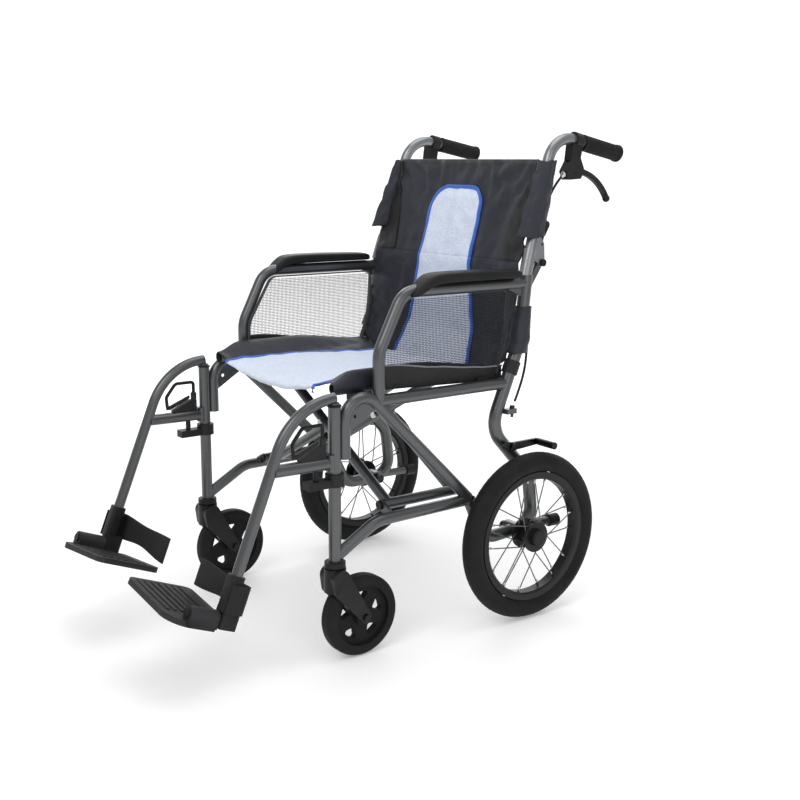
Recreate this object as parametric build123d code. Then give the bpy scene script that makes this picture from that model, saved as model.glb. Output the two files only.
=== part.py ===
from build123d import *
import os
from math import cos, pi, radians, sin, tan

# A folding transport wheelchair. Millimetres, +Z up, the chair faces -Y and +X is the
# occupant's left. Shapes are laid out from the rear axle on the ground plane (y = 0 at the
# axle, z = 0 on the floor) for the left side, and mirrored for the right side.

# Place of the rear axle, so that the origin is under the middle of the whole chair
REAR_AXLE_Y = 234.5

# Tubes
FRAME_X = 242.0
FRAME_R = 11.1
LOWER_R = 10.9
POST_R = 12.7
HANGER_R = 10.0
BRACE_R = 10.0
WALL = 1.8
MOVING_GAP = 0.4
SHAFT_GAP = 0.06

# Rear wheels
WHEEL_X = 289.0
WHEEL_R = 166.5
TYRE_R = 20.5
RIM_SEAT_R = 129.0
RIM_INNER_R = 114.0
RIM_HALF = 14.0
FLANGE_R = 30.0
FLANGE_OFFSET = 17.0
SPOKES_PER_FLANGE = 10
SPOKE_R = 1.2
SPOKE_LEAN = 42.0
AXLE_R = 6.0
AXLE_TUBE_R = 15.0
AXLE_TUBE_HALF = 19.0
HUB_R = 17.0
BEARING_R = 12.0
HUB_CAP_X = 320.0

# Casters
CASTER_R = 76.0
CASTER_HALF = 15.0
CASTER_STEM_Y = -427.0
CASTER_TRAIL = 52.0
CASTER_AXLE_R = 4.0
STEM_R = 7.0
STEM_TOP = 212.0
HOUSING_R = 19.0
HOUSING_BOTTOM = 176.0
HOUSING_TOP = 217.0
UPRIGHT_BOTTOM = 187.0
FORK_OUTER = 24.0
FORK_INNER = 19.0
FORK_HEAD_R = 20.0
FORK_HEAD_BOTTOM = 131.0
UPRIGHT_TOP = 467.0

# Side frame: middle lines of its tubes, as (y, z) in the plane of the frame
ARCH_LEG_Y = -407.0
ARCH_FOOT_Z = 372.0
LOWER_TUBE = [(CASTER_STEM_Y, 194.0), (-337.0, 245.0), (-118.0, 248.0)]
LOWER_BEND = 60.0
ARCH_TUBE = [(ARCH_LEG_Y, ARCH_FOOT_Z), (ARCH_LEG_Y, 530.0), (-122.0, 253.0)]
ARCH_BEND = 40.0
POST_TUBE = [
    (-118.0, 248.0),
    (-76.0, 161.0),
    (50.0, 168.0),
    (36.0, 272.0),
    (-66.0, 380.0),
    (2.0, 545.0),
    (16.0, 680.0),
]
POST_BENDS = [40, 40, 50, 55, 110]
ARM_TUBE = [(-333.0, 460.0), (-333.0, 552.0), (-280.0, 657.0), (12.0, 657.0)]
ARM_BENDS = [60, 45]
SEAT_SIDE_TUBE = [(-336.0, 466.0), (-30.0, 466.0)]
TIP_TUBE = [(34.0, 168.0), (104.0, 166.0)]
TIP_R = 8.5

# Cross brace, in the plane across the chair
PIVOT_X = 212.0
PIVOT_Z = 262.0
SEAT_RAIL_X = 206.0
SEAT_RAIL_Z = 490.0
SEAT_RAIL_Y = (-408.0, -62.0)
SADDLE_YS = (-372.0, -96.0)
BRACE_A_Y = (-288.0, -135.0)
BRACE_B_Y = (-264.0, -159.0)
PIVOT_TUBE_Y = (-300.0, -123.0)
PIVOT_ROD_R = 5.0
CROSS_BOLT_R = 4.0
BOLT_HEAD = 4.0

# Folding back: hinge behind the post, in (y, z)
BACK_HINGE = (49.0, 694.0)
HINGE_PIN_R = 4.0
FOLD_LEVER_PIN = (47.0, 729.0)
SEAM_Z = 672.0
HANDLE_FOOT = (242.4, 9.8, 664.0)
HANDLE_BEND = (224.0, 92.0, 937.0)
HANDLE_END = (220.0, 270.0, 903.0)
HANDLE_BEND_R = 58.0
FERRULE_LENGTH = 58.0
GRIP_R = 16.0
GRIP_FROM_END = 106.0

# Attendant brakes
LEVER_X = 225.0
LEVER_PIVOT = (146.0, 864.0)
BRAKE_PIVOT = (-26.0, 343.0)
BRAKE_PIN_R = 4.0
BARREL_PLACE = (257.0, -26.0)
BARREL_R = 3.0
ROLLER = (38.0, 345.0)
CABLE_R = 2.5
CABLE_ROUTE = [
    (226.0, 121.0, 861.0),
    (226.0, 100.0, 843.0),
    (226.0, 78.0, 806.0),
    (226.0, 63.0, 762.0),
    (225.5, 47.0, 706.0),
    (227.5, 34.0, 640.0),
    (238.0, 26.0, 570.0),
    (250.0, 14.0, 505.0),
    (256.0, -4.0, 462.0),
    (257.0, -20.0, 431.0),
]

# Swing-away leg rests
HANGER_TUBE = [(CASTER_STEM_Y, 482.0), (-512.0, 476.0), (-630.0, 186.0)]
HANGER_BEND = 125.0
LINK_TUBE = [(-551.0, 370.0), (-440.0, 368.0)]
LINK_SADDLE_Z = (354.0, 384.0)
HINGE_BUSH_BOTTOM = 440.0
HINGE_PIN_Z = (442.0, 478.0)
HINGE_STEM_R = 5.0
LATCH_Y = -466.0
LATCH_LUG_Z = (326.0, 340.0)
LATCH_PIN_R = 5.0
LOOP_PIN_Y = -452.0
LOOP_WIRE_R = 3.4

# Footplates, laid out square to the leg rest tube from this point on their hinge
FOOT_Y = -652.0
FOOT_Z = 132.0
FOOT_TILT = 22.0
PLATE_PIVOT_X = 238.0
PLATE_PIN_R = 5.0
PLATE_X = (60.0, 247.0)
PLATE_FRONT = -97.0
PLATE_BACK = 31.0
PLATE_TOP = -12.0
PLATE_ROLL = 5.5
PLATE_THICKNESS = 10.0
PLATE_RIBS = 7
RIB_PITCH = 14.0
RIB_HEIGHT = 1.6
KNUCKLE_HALF = 13.0
KNUCKLE_Y = (-65.6, -10.6)
STRAP_THICKNESS = 2.4
STRAP_WIDTH = 50.0
STRAP_LOW = 13.0
STRAP_BEND = 14.0

# Upholstery
PAD_X = 248.5
PAD_HALF = 23.0
PANEL_X = (226.5, 229.5)
SEAT_HALF = 186.0
SEAT_SAG = 26.0
SEAT_THICKNESS = 7.0
BACK_HALF = 204.0

PARTS = {}


def add(name, shape):
    """Keeps a finished sub-part under its name, moved to its place in the chair."""
    PARTS[name] = shape.moved(Location((0, REAR_AXLE_Y, 0)))


def add_pair(name, shape):
    """Keeps a left sub-part and its mirror image on the right."""
    add("left_" + name, shape)
    add("right_" + name, mirror(shape, about=Plane.YZ))


def group(solids):
    """Several separate solids that belong to one sub-part."""
    return Compound(children=[solid for item in solids for solid in item.solids()])


def in_side_plane(points, x=FRAME_X):
    return [(x, y, z) for y, z in points]


def rod(points, radius, bends=0.0):
    """A round bar along straight runs joined by arcs."""
    if len(points) == 2:
        path = Line(*points)
    else:
        path = FilletPolyline(*points, radius=bends)
    section = Plane(origin=path @ 0, z_dir=path % 0) * Circle(radius)
    return sweep(section, path=path)


def weld_tubes(tubes, wall=WALL):
    """Tubes welded to one another: their outsides joined, their bores open."""
    outside = None
    inside = None
    for points, radius, bends in tubes:
        skin = rod(points, radius, bends)
        bore = rod(points, radius - wall, bends)
        outside = skin if outside is None else outside + skin
        inside = bore if inside is None else inside + bore
    return outside - inside


def cylinder_x(x_from, x_to, y, z, radius):
    """A cylinder along X."""
    place = Plane(origin=(x_from, y, z), z_dir=(1, 0, 0))
    return extrude(place * Circle(radius), x_to - x_from)


def cylinder_y(y_from, y_to, x, z, radius):
    """A cylinder along Y."""
    place = Plane(origin=(x, y_from, z), z_dir=(0, 1, 0))
    return extrude(place * Circle(radius), y_to - y_from)


def cylinder_z(z_from, z_to, x, y, radius):
    """A cylinder along Z."""
    return extrude(Plane.XY.offset(z_from) * Pos(x, y) * Circle(radius), z_to - z_from)


def block(x, y, z):
    """A box between pairs of X, Y and Z limits."""
    middle = [(a + b) / 2 for a, b in (x, y, z)]
    return Pos(*middle) * Box(x[1] - x[0], y[1] - y[0], z[1] - z[0])


def round_block(x, y, z, corner):
    """A box with rounded upright edges."""
    box = block(x, y, z)
    return fillet(box.edges().filter_by(Axis.Z), corner)


def plate_x(points, x_from, x_to, corner=0.0):
    """A flat plate cut to a (y, z) outline and standing in the side plane."""
    place = Plane(origin=(x_from, 0, 0), x_dir=(0, 1, 0), z_dir=(1, 0, 0))
    outline = make_face(Polyline(*points, close=True))
    if corner:
        outline = fillet(outline.vertices(), corner)
    return extrude(place * outline, x_to - x_from)


def hull_plate_x(circles, x_from, x_to):
    """A plate whose outline wraps tightly round circles given as (y, z, radius)."""
    place = Plane(origin=(x_from, 0, 0), x_dir=(0, 1, 0), z_dir=(1, 0, 0))
    edges = []
    for y, z, radius in circles:
        edges += (Pos(y, z) * Circle(radius)).edges()
    return extrude(place * make_hull(edges), x_to - x_from)


def ring_x(x_from, x_to, y, z, outer, inner):
    return cylinder_x(x_from, x_to, y, z, outer) - cylinder_x(x_from, x_to, y, z, inner)


def wheel_profile(points):
    """Turns an (x, radius) outline round the X axis through the rear axle."""
    face = make_face(Polyline(*points, close=True))
    turned = revolve(Plane.XY * face, Axis.X)
    return Pos(0, 0, WHEEL_R) * turned


# Side frame

def lower_frame():
    """Front upright, lower tube and the arch behind the upright, with brace brackets."""
    upright = [(CASTER_STEM_Y, UPRIGHT_BOTTOM), (CASTER_STEM_Y, UPRIGHT_TOP)]
    frame = weld_tubes(
        [
            (in_side_plane(LOWER_TUBE), LOWER_R, LOWER_BEND),
            (in_side_plane(upright), FRAME_R, 0),
            (in_side_plane(ARCH_TUBE), FRAME_R, ARCH_BEND),
        ]
    )
    frame += corner_gusset()
    for y_from in (PIVOT_TUBE_Y[0] - 7.0, PIVOT_TUBE_Y[1] + 1.0):
        frame += brace_bracket(y_from)
    frame -= cylinder_z(HOUSING_BOTTOM, UPRIGHT_BOTTOM, FRAME_X, CASTER_STEM_Y, HOUSING_R)
    frame -= cylinder_z(UPRIGHT_BOTTOM, HOUSING_TOP + 4, FRAME_X, CASTER_STEM_Y, FRAME_R - WALL)
    return frame - back_post_outside()


def corner_gusset():
    """The drilled plate that fills the corner under the top of the arch."""
    outline = [(-402, 414), (-402, 444), (-384, 466), (-360, 472), (-338, 454)]
    plate = plate_x(outline, FRAME_X - 1.5, FRAME_X + 1.5, corner=4)
    plate -= cylinder_x(FRAME_X - 4, FRAME_X + 4, -384, 445, 3.5)
    return plate - rod(in_side_plane(ARCH_TUBE), FRAME_R - WALL, ARCH_BEND)


def brace_bracket(y_from, thickness=6.0):
    """The lug on the lower tube that holds one end of the brace's pivot rod."""
    place = Plane(origin=(0, y_from + thickness, 0), x_dir=(1, 0, 0), z_dir=(0, -1, 0))
    lug = make_hull(
        [
            *(Pos(PIVOT_X, PIVOT_Z) * Circle(10)).edges(),
            *(Pos(FRAME_X - 8, 253) * Circle(8)).edges(),
        ]
    )
    hole = cylinder_y(y_from - 1, y_from + thickness + 1, PIVOT_X, PIVOT_Z, PIVOT_ROD_R)
    bore = rod(in_side_plane(LOWER_TUBE), LOWER_R - WALL, LOWER_BEND)
    return extrude(place * lug, thickness) - hole - bore


def back_post_outside():
    return rod(in_side_plane(POST_TUBE), POST_R, POST_BENDS)


def back_post():
    """Lower back post: it curls round the axle housing and ends at the back hinge."""
    post = weld_tubes(
        [
            (in_side_plane(POST_TUBE), POST_R, POST_BENDS),
            (in_side_plane(TIP_TUBE), TIP_R, 0),
        ]
    )
    post -= block((FRAME_X - 20, FRAME_X + 20), (-20, 50), (SEAM_Z, SEAM_Z + 30))
    post += cylinder_x(FRAME_X - AXLE_TUBE_HALF, FRAME_X + AXLE_TUBE_HALF, 0, WHEEL_R, AXLE_TUBE_R)
    post -= cylinder_x(FRAME_X - AXLE_TUBE_HALF, FRAME_X + AXLE_TUBE_HALF, 0, WHEEL_R, AXLE_R)
    post += hinge_lug()
    post += cable_stop()
    post -= cylinder_x(FRAME_X - 20, FRAME_X + 20, *BRAKE_PIVOT, BRAKE_PIN_R)
    return post


def hinge_lug(half=3.0):
    """The plate behind the top of the post that carries the back hinge."""
    y, z = BACK_HINGE
    lug = hull_plate_x([(y, z, 6.5), (29, 668, 3.5), (25, 652, 3)], FRAME_X - half, FRAME_X + half)
    lug -= cylinder_x(FRAME_X - 5, FRAME_X + 5, y, z, HINGE_PIN_R)
    return lug - rod(in_side_plane(POST_TUBE), POST_R - WALL, POST_BENDS)


def cable_stop():
    """The small drilled block that the brake cable's barrel adjuster screws into."""
    stop = block((246, 262), (-42, -18), (408, 418))
    stop -= cylinder_z(400, 430, *BARREL_PLACE, BARREL_R)
    return stop - rod(in_side_plane(POST_TUBE), POST_R - WALL, POST_BENDS)


def upper_frame():
    """Armrest tube and the tube under the side of the seat, coped to their neighbours."""
    tubes = weld_tubes(
        [
            (in_side_plane(ARM_TUBE), FRAME_R, ARM_BENDS),
            (in_side_plane(SEAT_SIDE_TUBE), FRAME_R, 0),
        ]
    )
    tubes += arm_gusset()
    return tubes - rod(in_side_plane(ARCH_TUBE), FRAME_R, ARCH_BEND) - back_post_outside()


def arm_gusset():
    """The triangular web between the armrest tube and the post."""
    web = plate_x([(-46, 652), (8, 668), (8, 628)], FRAME_X - 5, FRAME_X + 5)
    return web - rod(in_side_plane(ARM_TUBE), FRAME_R - WALL, ARM_BENDS)


def frame_caps():
    """Plastic pieces of one side frame: tip cap, bush, seat saddles, collar, latch bracket."""
    tip = rod(in_side_plane([(95, 166.3), (118, 165.6)]), TIP_R + 4)
    tip -= rod(in_side_plane(TIP_TUBE), TIP_R)
    collar = rod(in_side_plane([(-23.2, 484), (-13.3, 508)]), POST_R + 3)
    collar -= back_post_outside()
    bush = cylinder_z(HINGE_BUSH_BOTTOM, UPRIGHT_TOP, FRAME_X, CASTER_STEM_Y, FRAME_R - WALL)
    bush += cylinder_z(UPRIGHT_TOP, UPRIGHT_TOP + 3, FRAME_X, CASTER_STEM_Y, FRAME_R + 1.5)
    bush -= cylinder_z(430, 480, FRAME_X, CASTER_STEM_Y, HINGE_STEM_R + SHAFT_GAP)
    saddles = [seat_saddle(y_from) for y_from in SADDLE_YS]
    return group([tip, bush, collar, latch_bracket(), *saddles])


def seat_saddle(y_from, length=26.0):
    """The cradle on the side frame that the seat rail rests in when the chair is open."""
    cradle = block((198, FRAME_X - 7), (y_from, y_from + length), (466, 481))
    cradle -= cylinder_y(y_from - 1, y_from + length + 1, SEAT_RAIL_X, SEAT_RAIL_Z, BRACE_R + 1)
    cradle -= rod(in_side_plane([(-380, 466), (-30, 466)]), FRAME_R)
    cradle -= rod(in_side_plane(ARM_TUBE), FRAME_R, ARM_BENDS)
    return cradle - rod(in_side_plane(ARCH_TUBE), FRAME_R, ARCH_BEND)


def latch_bracket():
    """The clamp on the upright whose front lug takes the leg rest's latch pin."""
    z_from, z_to = LATCH_LUG_Z
    clamp = cylinder_z(z_from, z_to + 8, FRAME_X, CASTER_STEM_Y, FRAME_R + 6)
    clamp += block((FRAME_X - 11, FRAME_X + 11), (-486, CASTER_STEM_Y), (z_from, z_to))
    clamp -= cylinder_z(z_from - 1, z_to + 9, FRAME_X, CASTER_STEM_Y, FRAME_R)
    return clamp - cylinder_z(z_from - 1, z_to + 1, FRAME_X, LATCH_Y, LATCH_PIN_R + MOVING_GAP)


def frame_bolts():
    """Steel pins and bolts held by one side frame."""
    axle = cylinder_x(218, 312, 0, WHEEL_R, AXLE_R)
    axle += cylinder_x(210, 223, 0, WHEEL_R, 9.5)
    axle += cylinder_x(312.4, 316.4, 0, WHEEL_R, 8)
    axle += cylinder_x(311, 313, 0, WHEEL_R, AXLE_R)
    brake = cylinder_x(FRAME_X - 16, 264, *BRAKE_PIVOT, BRAKE_PIN_R)
    brake += cylinder_x(263.6, 267, *BRAKE_PIVOT, 7)
    hinge = cylinder_x(FRAME_X - 9, FRAME_X + 9, *BACK_HINGE, HINGE_PIN_R)
    hinge += cylinder_x(FRAME_X + 8, FRAME_X + 12, *BACK_HINGE, 7)
    hinge += cylinder_x(FRAME_X - 11.4, FRAME_X - 8, *BACK_HINGE, 7)
    pivot = cylinder_y(PIVOT_TUBE_Y[0] - 10, PIVOT_TUBE_Y[1] + 10, PIVOT_X, PIVOT_Z, PIVOT_ROD_R)
    for y_from in (PIVOT_TUBE_Y[0] - 11, PIVOT_TUBE_Y[1] + 7):
        pivot += cylinder_y(y_from, y_from + 4, PIVOT_X, PIVOT_Z, 8.5)
    barrel = cylinder_z(401, 424, *BARREL_PLACE, BARREL_R)
    barrel += cylinder_z(418, 424, *BARREL_PLACE, BARREL_R + 2)
    return group([axle, brake, hinge, pivot, barrel])


# Wheels

def rear_tyre():
    """Pneumatic tyre seated on the rim."""
    centre = WHEEL_R - TYRE_R
    section = Pos(WHEEL_X, centre) * Circle(TYRE_R)
    section -= Pos(WHEEL_X, RIM_SEAT_R - 50) * Rectangle(4 * TYRE_R, 100)
    return Pos(0, 0, WHEEL_R) * revolve(Plane.XY * section, Axis.X)


def rear_rim():
    """Channel rim: a floor that takes the spokes and two walls that hold the tyre."""
    half = RIM_HALF
    outline = [
        (WHEEL_X - half, RIM_SEAT_R),
        (WHEEL_X - half, RIM_INNER_R + 4),
        (WHEEL_X - half + 4, RIM_INNER_R),
        (WHEEL_X + half - 4, RIM_INNER_R),
        (WHEEL_X + half, RIM_INNER_R + 4),
        (WHEEL_X + half, RIM_SEAT_R),
        (WHEEL_X + half - 3, RIM_SEAT_R),
        (WHEEL_X + half - 3, RIM_INNER_R + 5),
        (WHEEL_X - half + 3, RIM_INNER_R + 5),
        (WHEEL_X - half + 3, RIM_SEAT_R),
    ]
    return wheel_profile(outline)


def rear_hub():
    """Hub shell with two spoke flanges and a cap, and its two bearings."""
    inner = FRAME_X + 21.5
    flange_in = WHEEL_X - FLANGE_OFFSET
    flange_out = WHEEL_X + FLANGE_OFFSET
    shell = cylinder_x(inner, HUB_CAP_X, 0, WHEEL_R, HUB_R)
    for x in (flange_in, flange_out):
        shell += cylinder_x(x - 2, x + 2, 0, WHEEL_R, FLANGE_R)
    shell = fillet(shell.edges().filter_by(GeomType.CIRCLE).group_by(Axis.X)[-1], 4)
    shell -= cylinder_x(inner - 1, 311, 0, WHEEL_R, BEARING_R)
    shell -= cylinder_x(310, 317.2, 0, WHEEL_R, 9.5)
    bearings = [
        ring_x(x, x + 9, 0, WHEEL_R, BEARING_R, AXLE_R + SHAFT_GAP)
        for x in (inner + 1, 301)
    ]
    return group([shell, *bearings])


def rear_spokes():
    """Crossed wire spokes from both flanges to the rim."""
    spokes = []
    step = 360.0 / SPOKES_PER_FLANGE
    for side in (-1, 1):
        x_hub = WHEEL_X + side * (FLANGE_OFFSET - 2 - SPOKE_R - 0.1)
        x_rim = WHEEL_X + side * 4
        for n in range(SPOKES_PER_FLANGE):
            lean = SPOKE_LEAN if n % 2 else -SPOKE_LEAN
            start = (n + 0.25 * side) * step
            end = start + lean
            ends = [wheel_point(x_hub, 25, start), wheel_point(x_rim, RIM_INNER_R - 0.7, end)]
            spokes.append(rod(ends, SPOKE_R))
    return group(spokes)


def wheel_point(x, radius, angle):
    """A point of the rear wheel at a radius and an angle about the axle."""
    turn = radians(angle)
    return (x, radius * cos(turn), WHEEL_R + radius * sin(turn))


def caster_y():
    return CASTER_STEM_Y + CASTER_TRAIL


def caster_housing():
    """Flanged bearing bush in the foot of the upright, which the caster's stem turns in."""
    housing = cylinder_z(HOUSING_BOTTOM, UPRIGHT_BOTTOM, FRAME_X, CASTER_STEM_Y, HOUSING_R)
    housing += cylinder_z(UPRIGHT_BOTTOM, HOUSING_TOP, FRAME_X, CASTER_STEM_Y, FRAME_R - WALL)
    top = housing.edges().filter_by(GeomType.CIRCLE).group_by(Axis.Z)[0]
    housing = chamfer(top, 1.5)
    return housing - cylinder_z(170, HOUSING_TOP + 1, FRAME_X, CASTER_STEM_Y, STEM_R + SHAFT_GAP)


def caster_fork():
    """Fork with a deep head and its stem; the legs sweep back to the caster's axle."""
    y = CASTER_STEM_Y
    top = HOUSING_BOTTOM - 0.6
    profile = [(y, top - 17, 17), (y + 2, 137, 16), (caster_y(), CASTER_R, 11)]
    fork = hull_plate_x(profile, FRAME_X - FORK_OUTER, FRAME_X + FORK_OUTER)
    between_legs = (FRAME_X - FORK_INNER, FRAME_X + FORK_INNER)
    fork -= block(between_legs, (-460, -340), (50, FORK_HEAD_BOTTOM))
    fork += cylinder_z(FORK_HEAD_BOTTOM, top, FRAME_X, y, FORK_HEAD_R)
    fork -= cylinder_x(*between_legs, caster_y(), CASTER_R, CASTER_R + 3)
    fork += cylinder_z(top - 4, STEM_TOP, FRAME_X, y, STEM_R)
    return fork - cylinder_x(FRAME_X - 30, FRAME_X + 30, caster_y(), CASTER_R, CASTER_AXLE_R)


def caster_axle():
    """Bolt and nut through the fork and the caster wheel."""
    y = caster_y()
    axle = cylinder_x(FRAME_X - 27, FRAME_X + 27, y, CASTER_R, CASTER_AXLE_R)
    for x_from in (FRAME_X - FORK_OUTER - 5, FRAME_X + FORK_OUTER):
        axle += cylinder_x(x_from, x_from + 5, y, CASTER_R, 7)
    return axle


def caster_wheel():
    """Moulded wheel: solid tread, five-spoked centre and hub."""
    y = caster_y()
    x_from, x_to = FRAME_X - CASTER_HALF, FRAME_X + CASTER_HALF
    tread = ring_x(x_from, x_to, y, CASTER_R, CASTER_R, 56)
    outer = tread.edges().filter_by(GeomType.CIRCLE).filter_by(lambda e: e.radius > 70)
    tread = fillet(outer, 9)
    web = ring_x(FRAME_X - 7, FRAME_X + 7, y, CASTER_R, 56, 17)
    for n in range(5):
        web -= caster_window(72 * n + 18)
    hub = ring_x(FRAME_X - 18.4, FRAME_X + 18.4, y, CASTER_R, 17, CASTER_AXLE_R + SHAFT_GAP)
    return tread + web + hub


def caster_window(angle):
    """A rounded triangular window between two spokes of the caster wheel."""
    spread = radians(24)
    corners = [(24, 0), (49 * cos(spread), 49 * sin(spread)), (49 * cos(spread), -49 * sin(spread))]
    face = make_face(Polyline(*corners, close=True))
    face = fillet(face.vertices(), 5)
    place = Plane(origin=(FRAME_X - 20, caster_y(), CASTER_R), x_dir=(0, 1, 0), z_dir=(1, 0, 0))
    return extrude(place * (Rot(0, 0, angle) * face), 40)


# Leg rests

def hanger():
    """Bent leg rest tube with its link to the upright and its top hinge pin."""
    tubes = weld_tubes(
        [
            (in_side_plane(HANGER_TUBE), HANGER_R, HANGER_BEND),
            (in_side_plane(LINK_TUBE), FRAME_R, 0),
        ]
    )
    tubes += cylinder_z(*HINGE_PIN_Z, FRAME_X, CASTER_STEM_Y, HINGE_STEM_R)
    tubes += cylinder_z(471.6, 474, FRAME_X, CASTER_STEM_Y, 9)
    saddle = cylinder_z(*LINK_SADDLE_Z, FRAME_X, CASTER_STEM_Y, 17)
    saddle &= block((FRAME_X - 11.5, FRAME_X + 11.5), (-450, CASTER_STEM_Y - 8), LINK_SADDLE_Z)
    tubes += saddle
    return tubes - cylinder_z(350, 390, FRAME_X, CASTER_STEM_Y, FRAME_R + MOVING_GAP)


def foot_plane():
    """The leg rest's foot: local Z runs up the tube, local -Y forward along the plate."""
    tilt = radians(FOOT_TILT)
    origin = (0, FOOT_Y, FOOT_Z)
    return Plane(origin=origin, x_dir=(1, 0, 0), z_dir=(0, sin(tilt), cos(tilt)))


def hanger_fittings():
    """Plastic clamp that carries the footplate, and the latch body with its pin."""
    sleeve = round_block((FRAME_X - 13, FRAME_X + 13), (-13.5, 13.5), (14, 76), 8)
    sleeve += round_block((FRAME_X - 17, FRAME_X + 14), (-10, 24), (-15, 20), 5)
    pin = cylinder_y(-66, 20, PLATE_PIVOT_X, 0, PLATE_PIN_R)
    pin += cylinder_y(-69, -66, PLATE_PIVOT_X, 0, 8)
    clamp = foot_plane() * sleeve - rod(in_side_plane(HANGER_TUBE), HANGER_R, HANGER_BEND)
    clamp += foot_plane() * pin
    body = plate_x([(-500, 378), (-500, 384), (-462, 402), (-448, 402), (-448, 378)], 236, 248)
    body -= rod(in_side_plane(LINK_TUBE), FRAME_R, 0)
    latch_pin = cylinder_z(LATCH_LUG_Z[1] + 1, 360, FRAME_X, LATCH_Y, LATCH_PIN_R)
    latch_pin -= rod(in_side_plane(LINK_TUBE), FRAME_R, 0)
    return group([clamp, body, latch_pin])


def release_loop():
    """Finger loop above the latch body; it turns about an upright pin."""
    points = [(LOOP_PIN_Y, 409), (LOOP_PIN_Y, 438), (-492, 438), (-513, 412), (-511, 390)]
    loop = rod(in_side_plane(points), LOOP_WIRE_R, [6, 12, 12])
    loop += rod(in_side_plane([(-511, 391), (-507, 389)]), LOOP_WIRE_R)
    foot = plate_x([(-514, 386), (-505, 386), (-462, 405.5), (-462, 411), (-510, 392)], 239.5, 244.5)
    barrel = cylinder_z(402.6, 416, FRAME_X, LOOP_PIN_Y, 6)
    return loop + foot + barrel


def footplate():
    """Ribbed plate, higher at its inner side, that turns up about the pin of the clamp."""
    plate = block(PLATE_X, (PLATE_FRONT, PLATE_BACK), (-PLATE_THICKNESS, 0))
    corners = plate.edges().filter_by(Axis.Z).sort_by(Axis.Y)
    plate = fillet(corners[:2].sort_by(Axis.X)[-1], 42)
    corners = plate.edges().filter_by(Axis.Z).sort_by(Axis.X)
    plate = fillet(corners[:2], 14)
    for n in range(PLATE_RIBS):
        y = PLATE_FRONT + 13 + RIB_PITCH * n
        plate += block((PLATE_X[0] + 12, PLATE_X[1] - 46), (y, y + 5), (-1, RIB_HEIGHT))
    plate = Pos(0, 0, PLATE_TOP) * plate
    plate = plate.rotate(Axis((PLATE_PIVOT_X, 0, PLATE_TOP), (0, 1, 0)), PLATE_ROLL)
    pivot = (PLATE_PIVOT_X, 0)
    sides = (PLATE_PIVOT_X - KNUCKLE_HALF, PLATE_PIVOT_X + KNUCKLE_HALF)
    knuckle = cylinder_y(*KNUCKLE_Y, *pivot, KNUCKLE_HALF)
    knuckle += block(sides, KNUCKLE_Y, (PLATE_TOP - 6, 0))
    plate -= block((PLATE_PIVOT_X - 24, 270), (KNUCKLE_Y[1], 40), (-40, 40))
    plate += knuckle
    plate -= cylinder_y(-70, 0, *pivot, PLATE_PIN_R + SHAFT_GAP)
    return foot_plane() * plate


def heel_strap():
    """Webbing loop behind the heel, from round the clamp to the back corner of the plate."""
    half = STRAP_THICKNESS / 2
    outer = FilletPolyline(*strap_line(half), radius=STRAP_BEND + half)
    inner = FilletPolyline(*strap_line(-half), radius=STRAP_BEND - half)
    band = make_face(outer + inner + Line(outer @ 0, inner @ 0) + Line(outer @ 1, inner @ 1))
    return foot_plane() * (Pos(0, 0, STRAP_LOW) * extrude(band, STRAP_WIDTH))


def strap_line(out):
    """The strap's way in plan, moved outwards from its middle by a distance."""
    x_outer = FRAME_X + 17 + out
    return [(x_outer, -12), (x_outer, 28 + out), (68, 34 + out)]


# Back

def post_direction():
    return Vector(*HANDLE_BEND) - Vector(*HANDLE_FOOT)


def handle_path_points():
    return [HANDLE_FOOT, HANDLE_BEND, HANDLE_END]


def handle_post():
    """Folding upper post that bends back into the push handle."""
    post = rod(handle_path_points(), FRAME_R, HANDLE_BEND_R)
    ferrule_end = Vector(*HANDLE_FOOT) + post_direction().normalized() * FERRULE_LENGTH
    post += rod([HANDLE_FOOT, ferrule_end], POST_R)
    post -= block((200, 280), (-30, 60), (SEAM_Z - 30, SEAM_Z + MOVING_GAP))
    cheek_outline = [(*BACK_HINGE, 6.5), (30, 704, 5), (38, 744, 4), (*FOLD_LEVER_PIN, 6)]
    for x in (FRAME_X - 7.4, FRAME_X + 3.4):
        post += hull_plate_x(cheek_outline, x, x + 4)
    post -= rod(handle_path_points(), FRAME_R - WALL, HANDLE_BEND_R)
    post -= cylinder_x(FRAME_X - 20, FRAME_X + 20, *BACK_HINGE, HINGE_PIN_R + SHAFT_GAP)
    return post - cylinder_x(FRAME_X - 20, FRAME_X + 20, *FOLD_LEVER_PIN, 2.5)


def fold_lever():
    """Release lever of the folding back, on its own small pin."""
    shank = [(46, 717, 3.5), (*FOLD_LEVER_PIN, 5), (53, 748, 4)]
    lever = hull_plate_x(shank, FRAME_X - 3, FRAME_X + 3)
    lever += hull_plate_x([(53, 748, 4), (60, 766, 7)], FRAME_X - 6, FRAME_X + 6)
    return lever + cylinder_x(FRAME_X - 7.6, FRAME_X + 7.6, *FOLD_LEVER_PIN, 2.44)


def grip():
    """Hand grip pushed over the end of the handle."""
    start = Vector(*HANDLE_BEND)
    end = Vector(*HANDLE_END)
    along = (end - start).normalized()
    shell = rod([(end - along * (GRIP_FROM_END - 6)), (end + along * 8)], GRIP_R)
    shell = fillet(shell.edges().filter_by(GeomType.CIRCLE), 4)
    shell += rod([(end + along * 0.5), (end + along * 6)], GRIP_R + 1.5)
    return shell - rod([start, end], FRAME_R)


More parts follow.
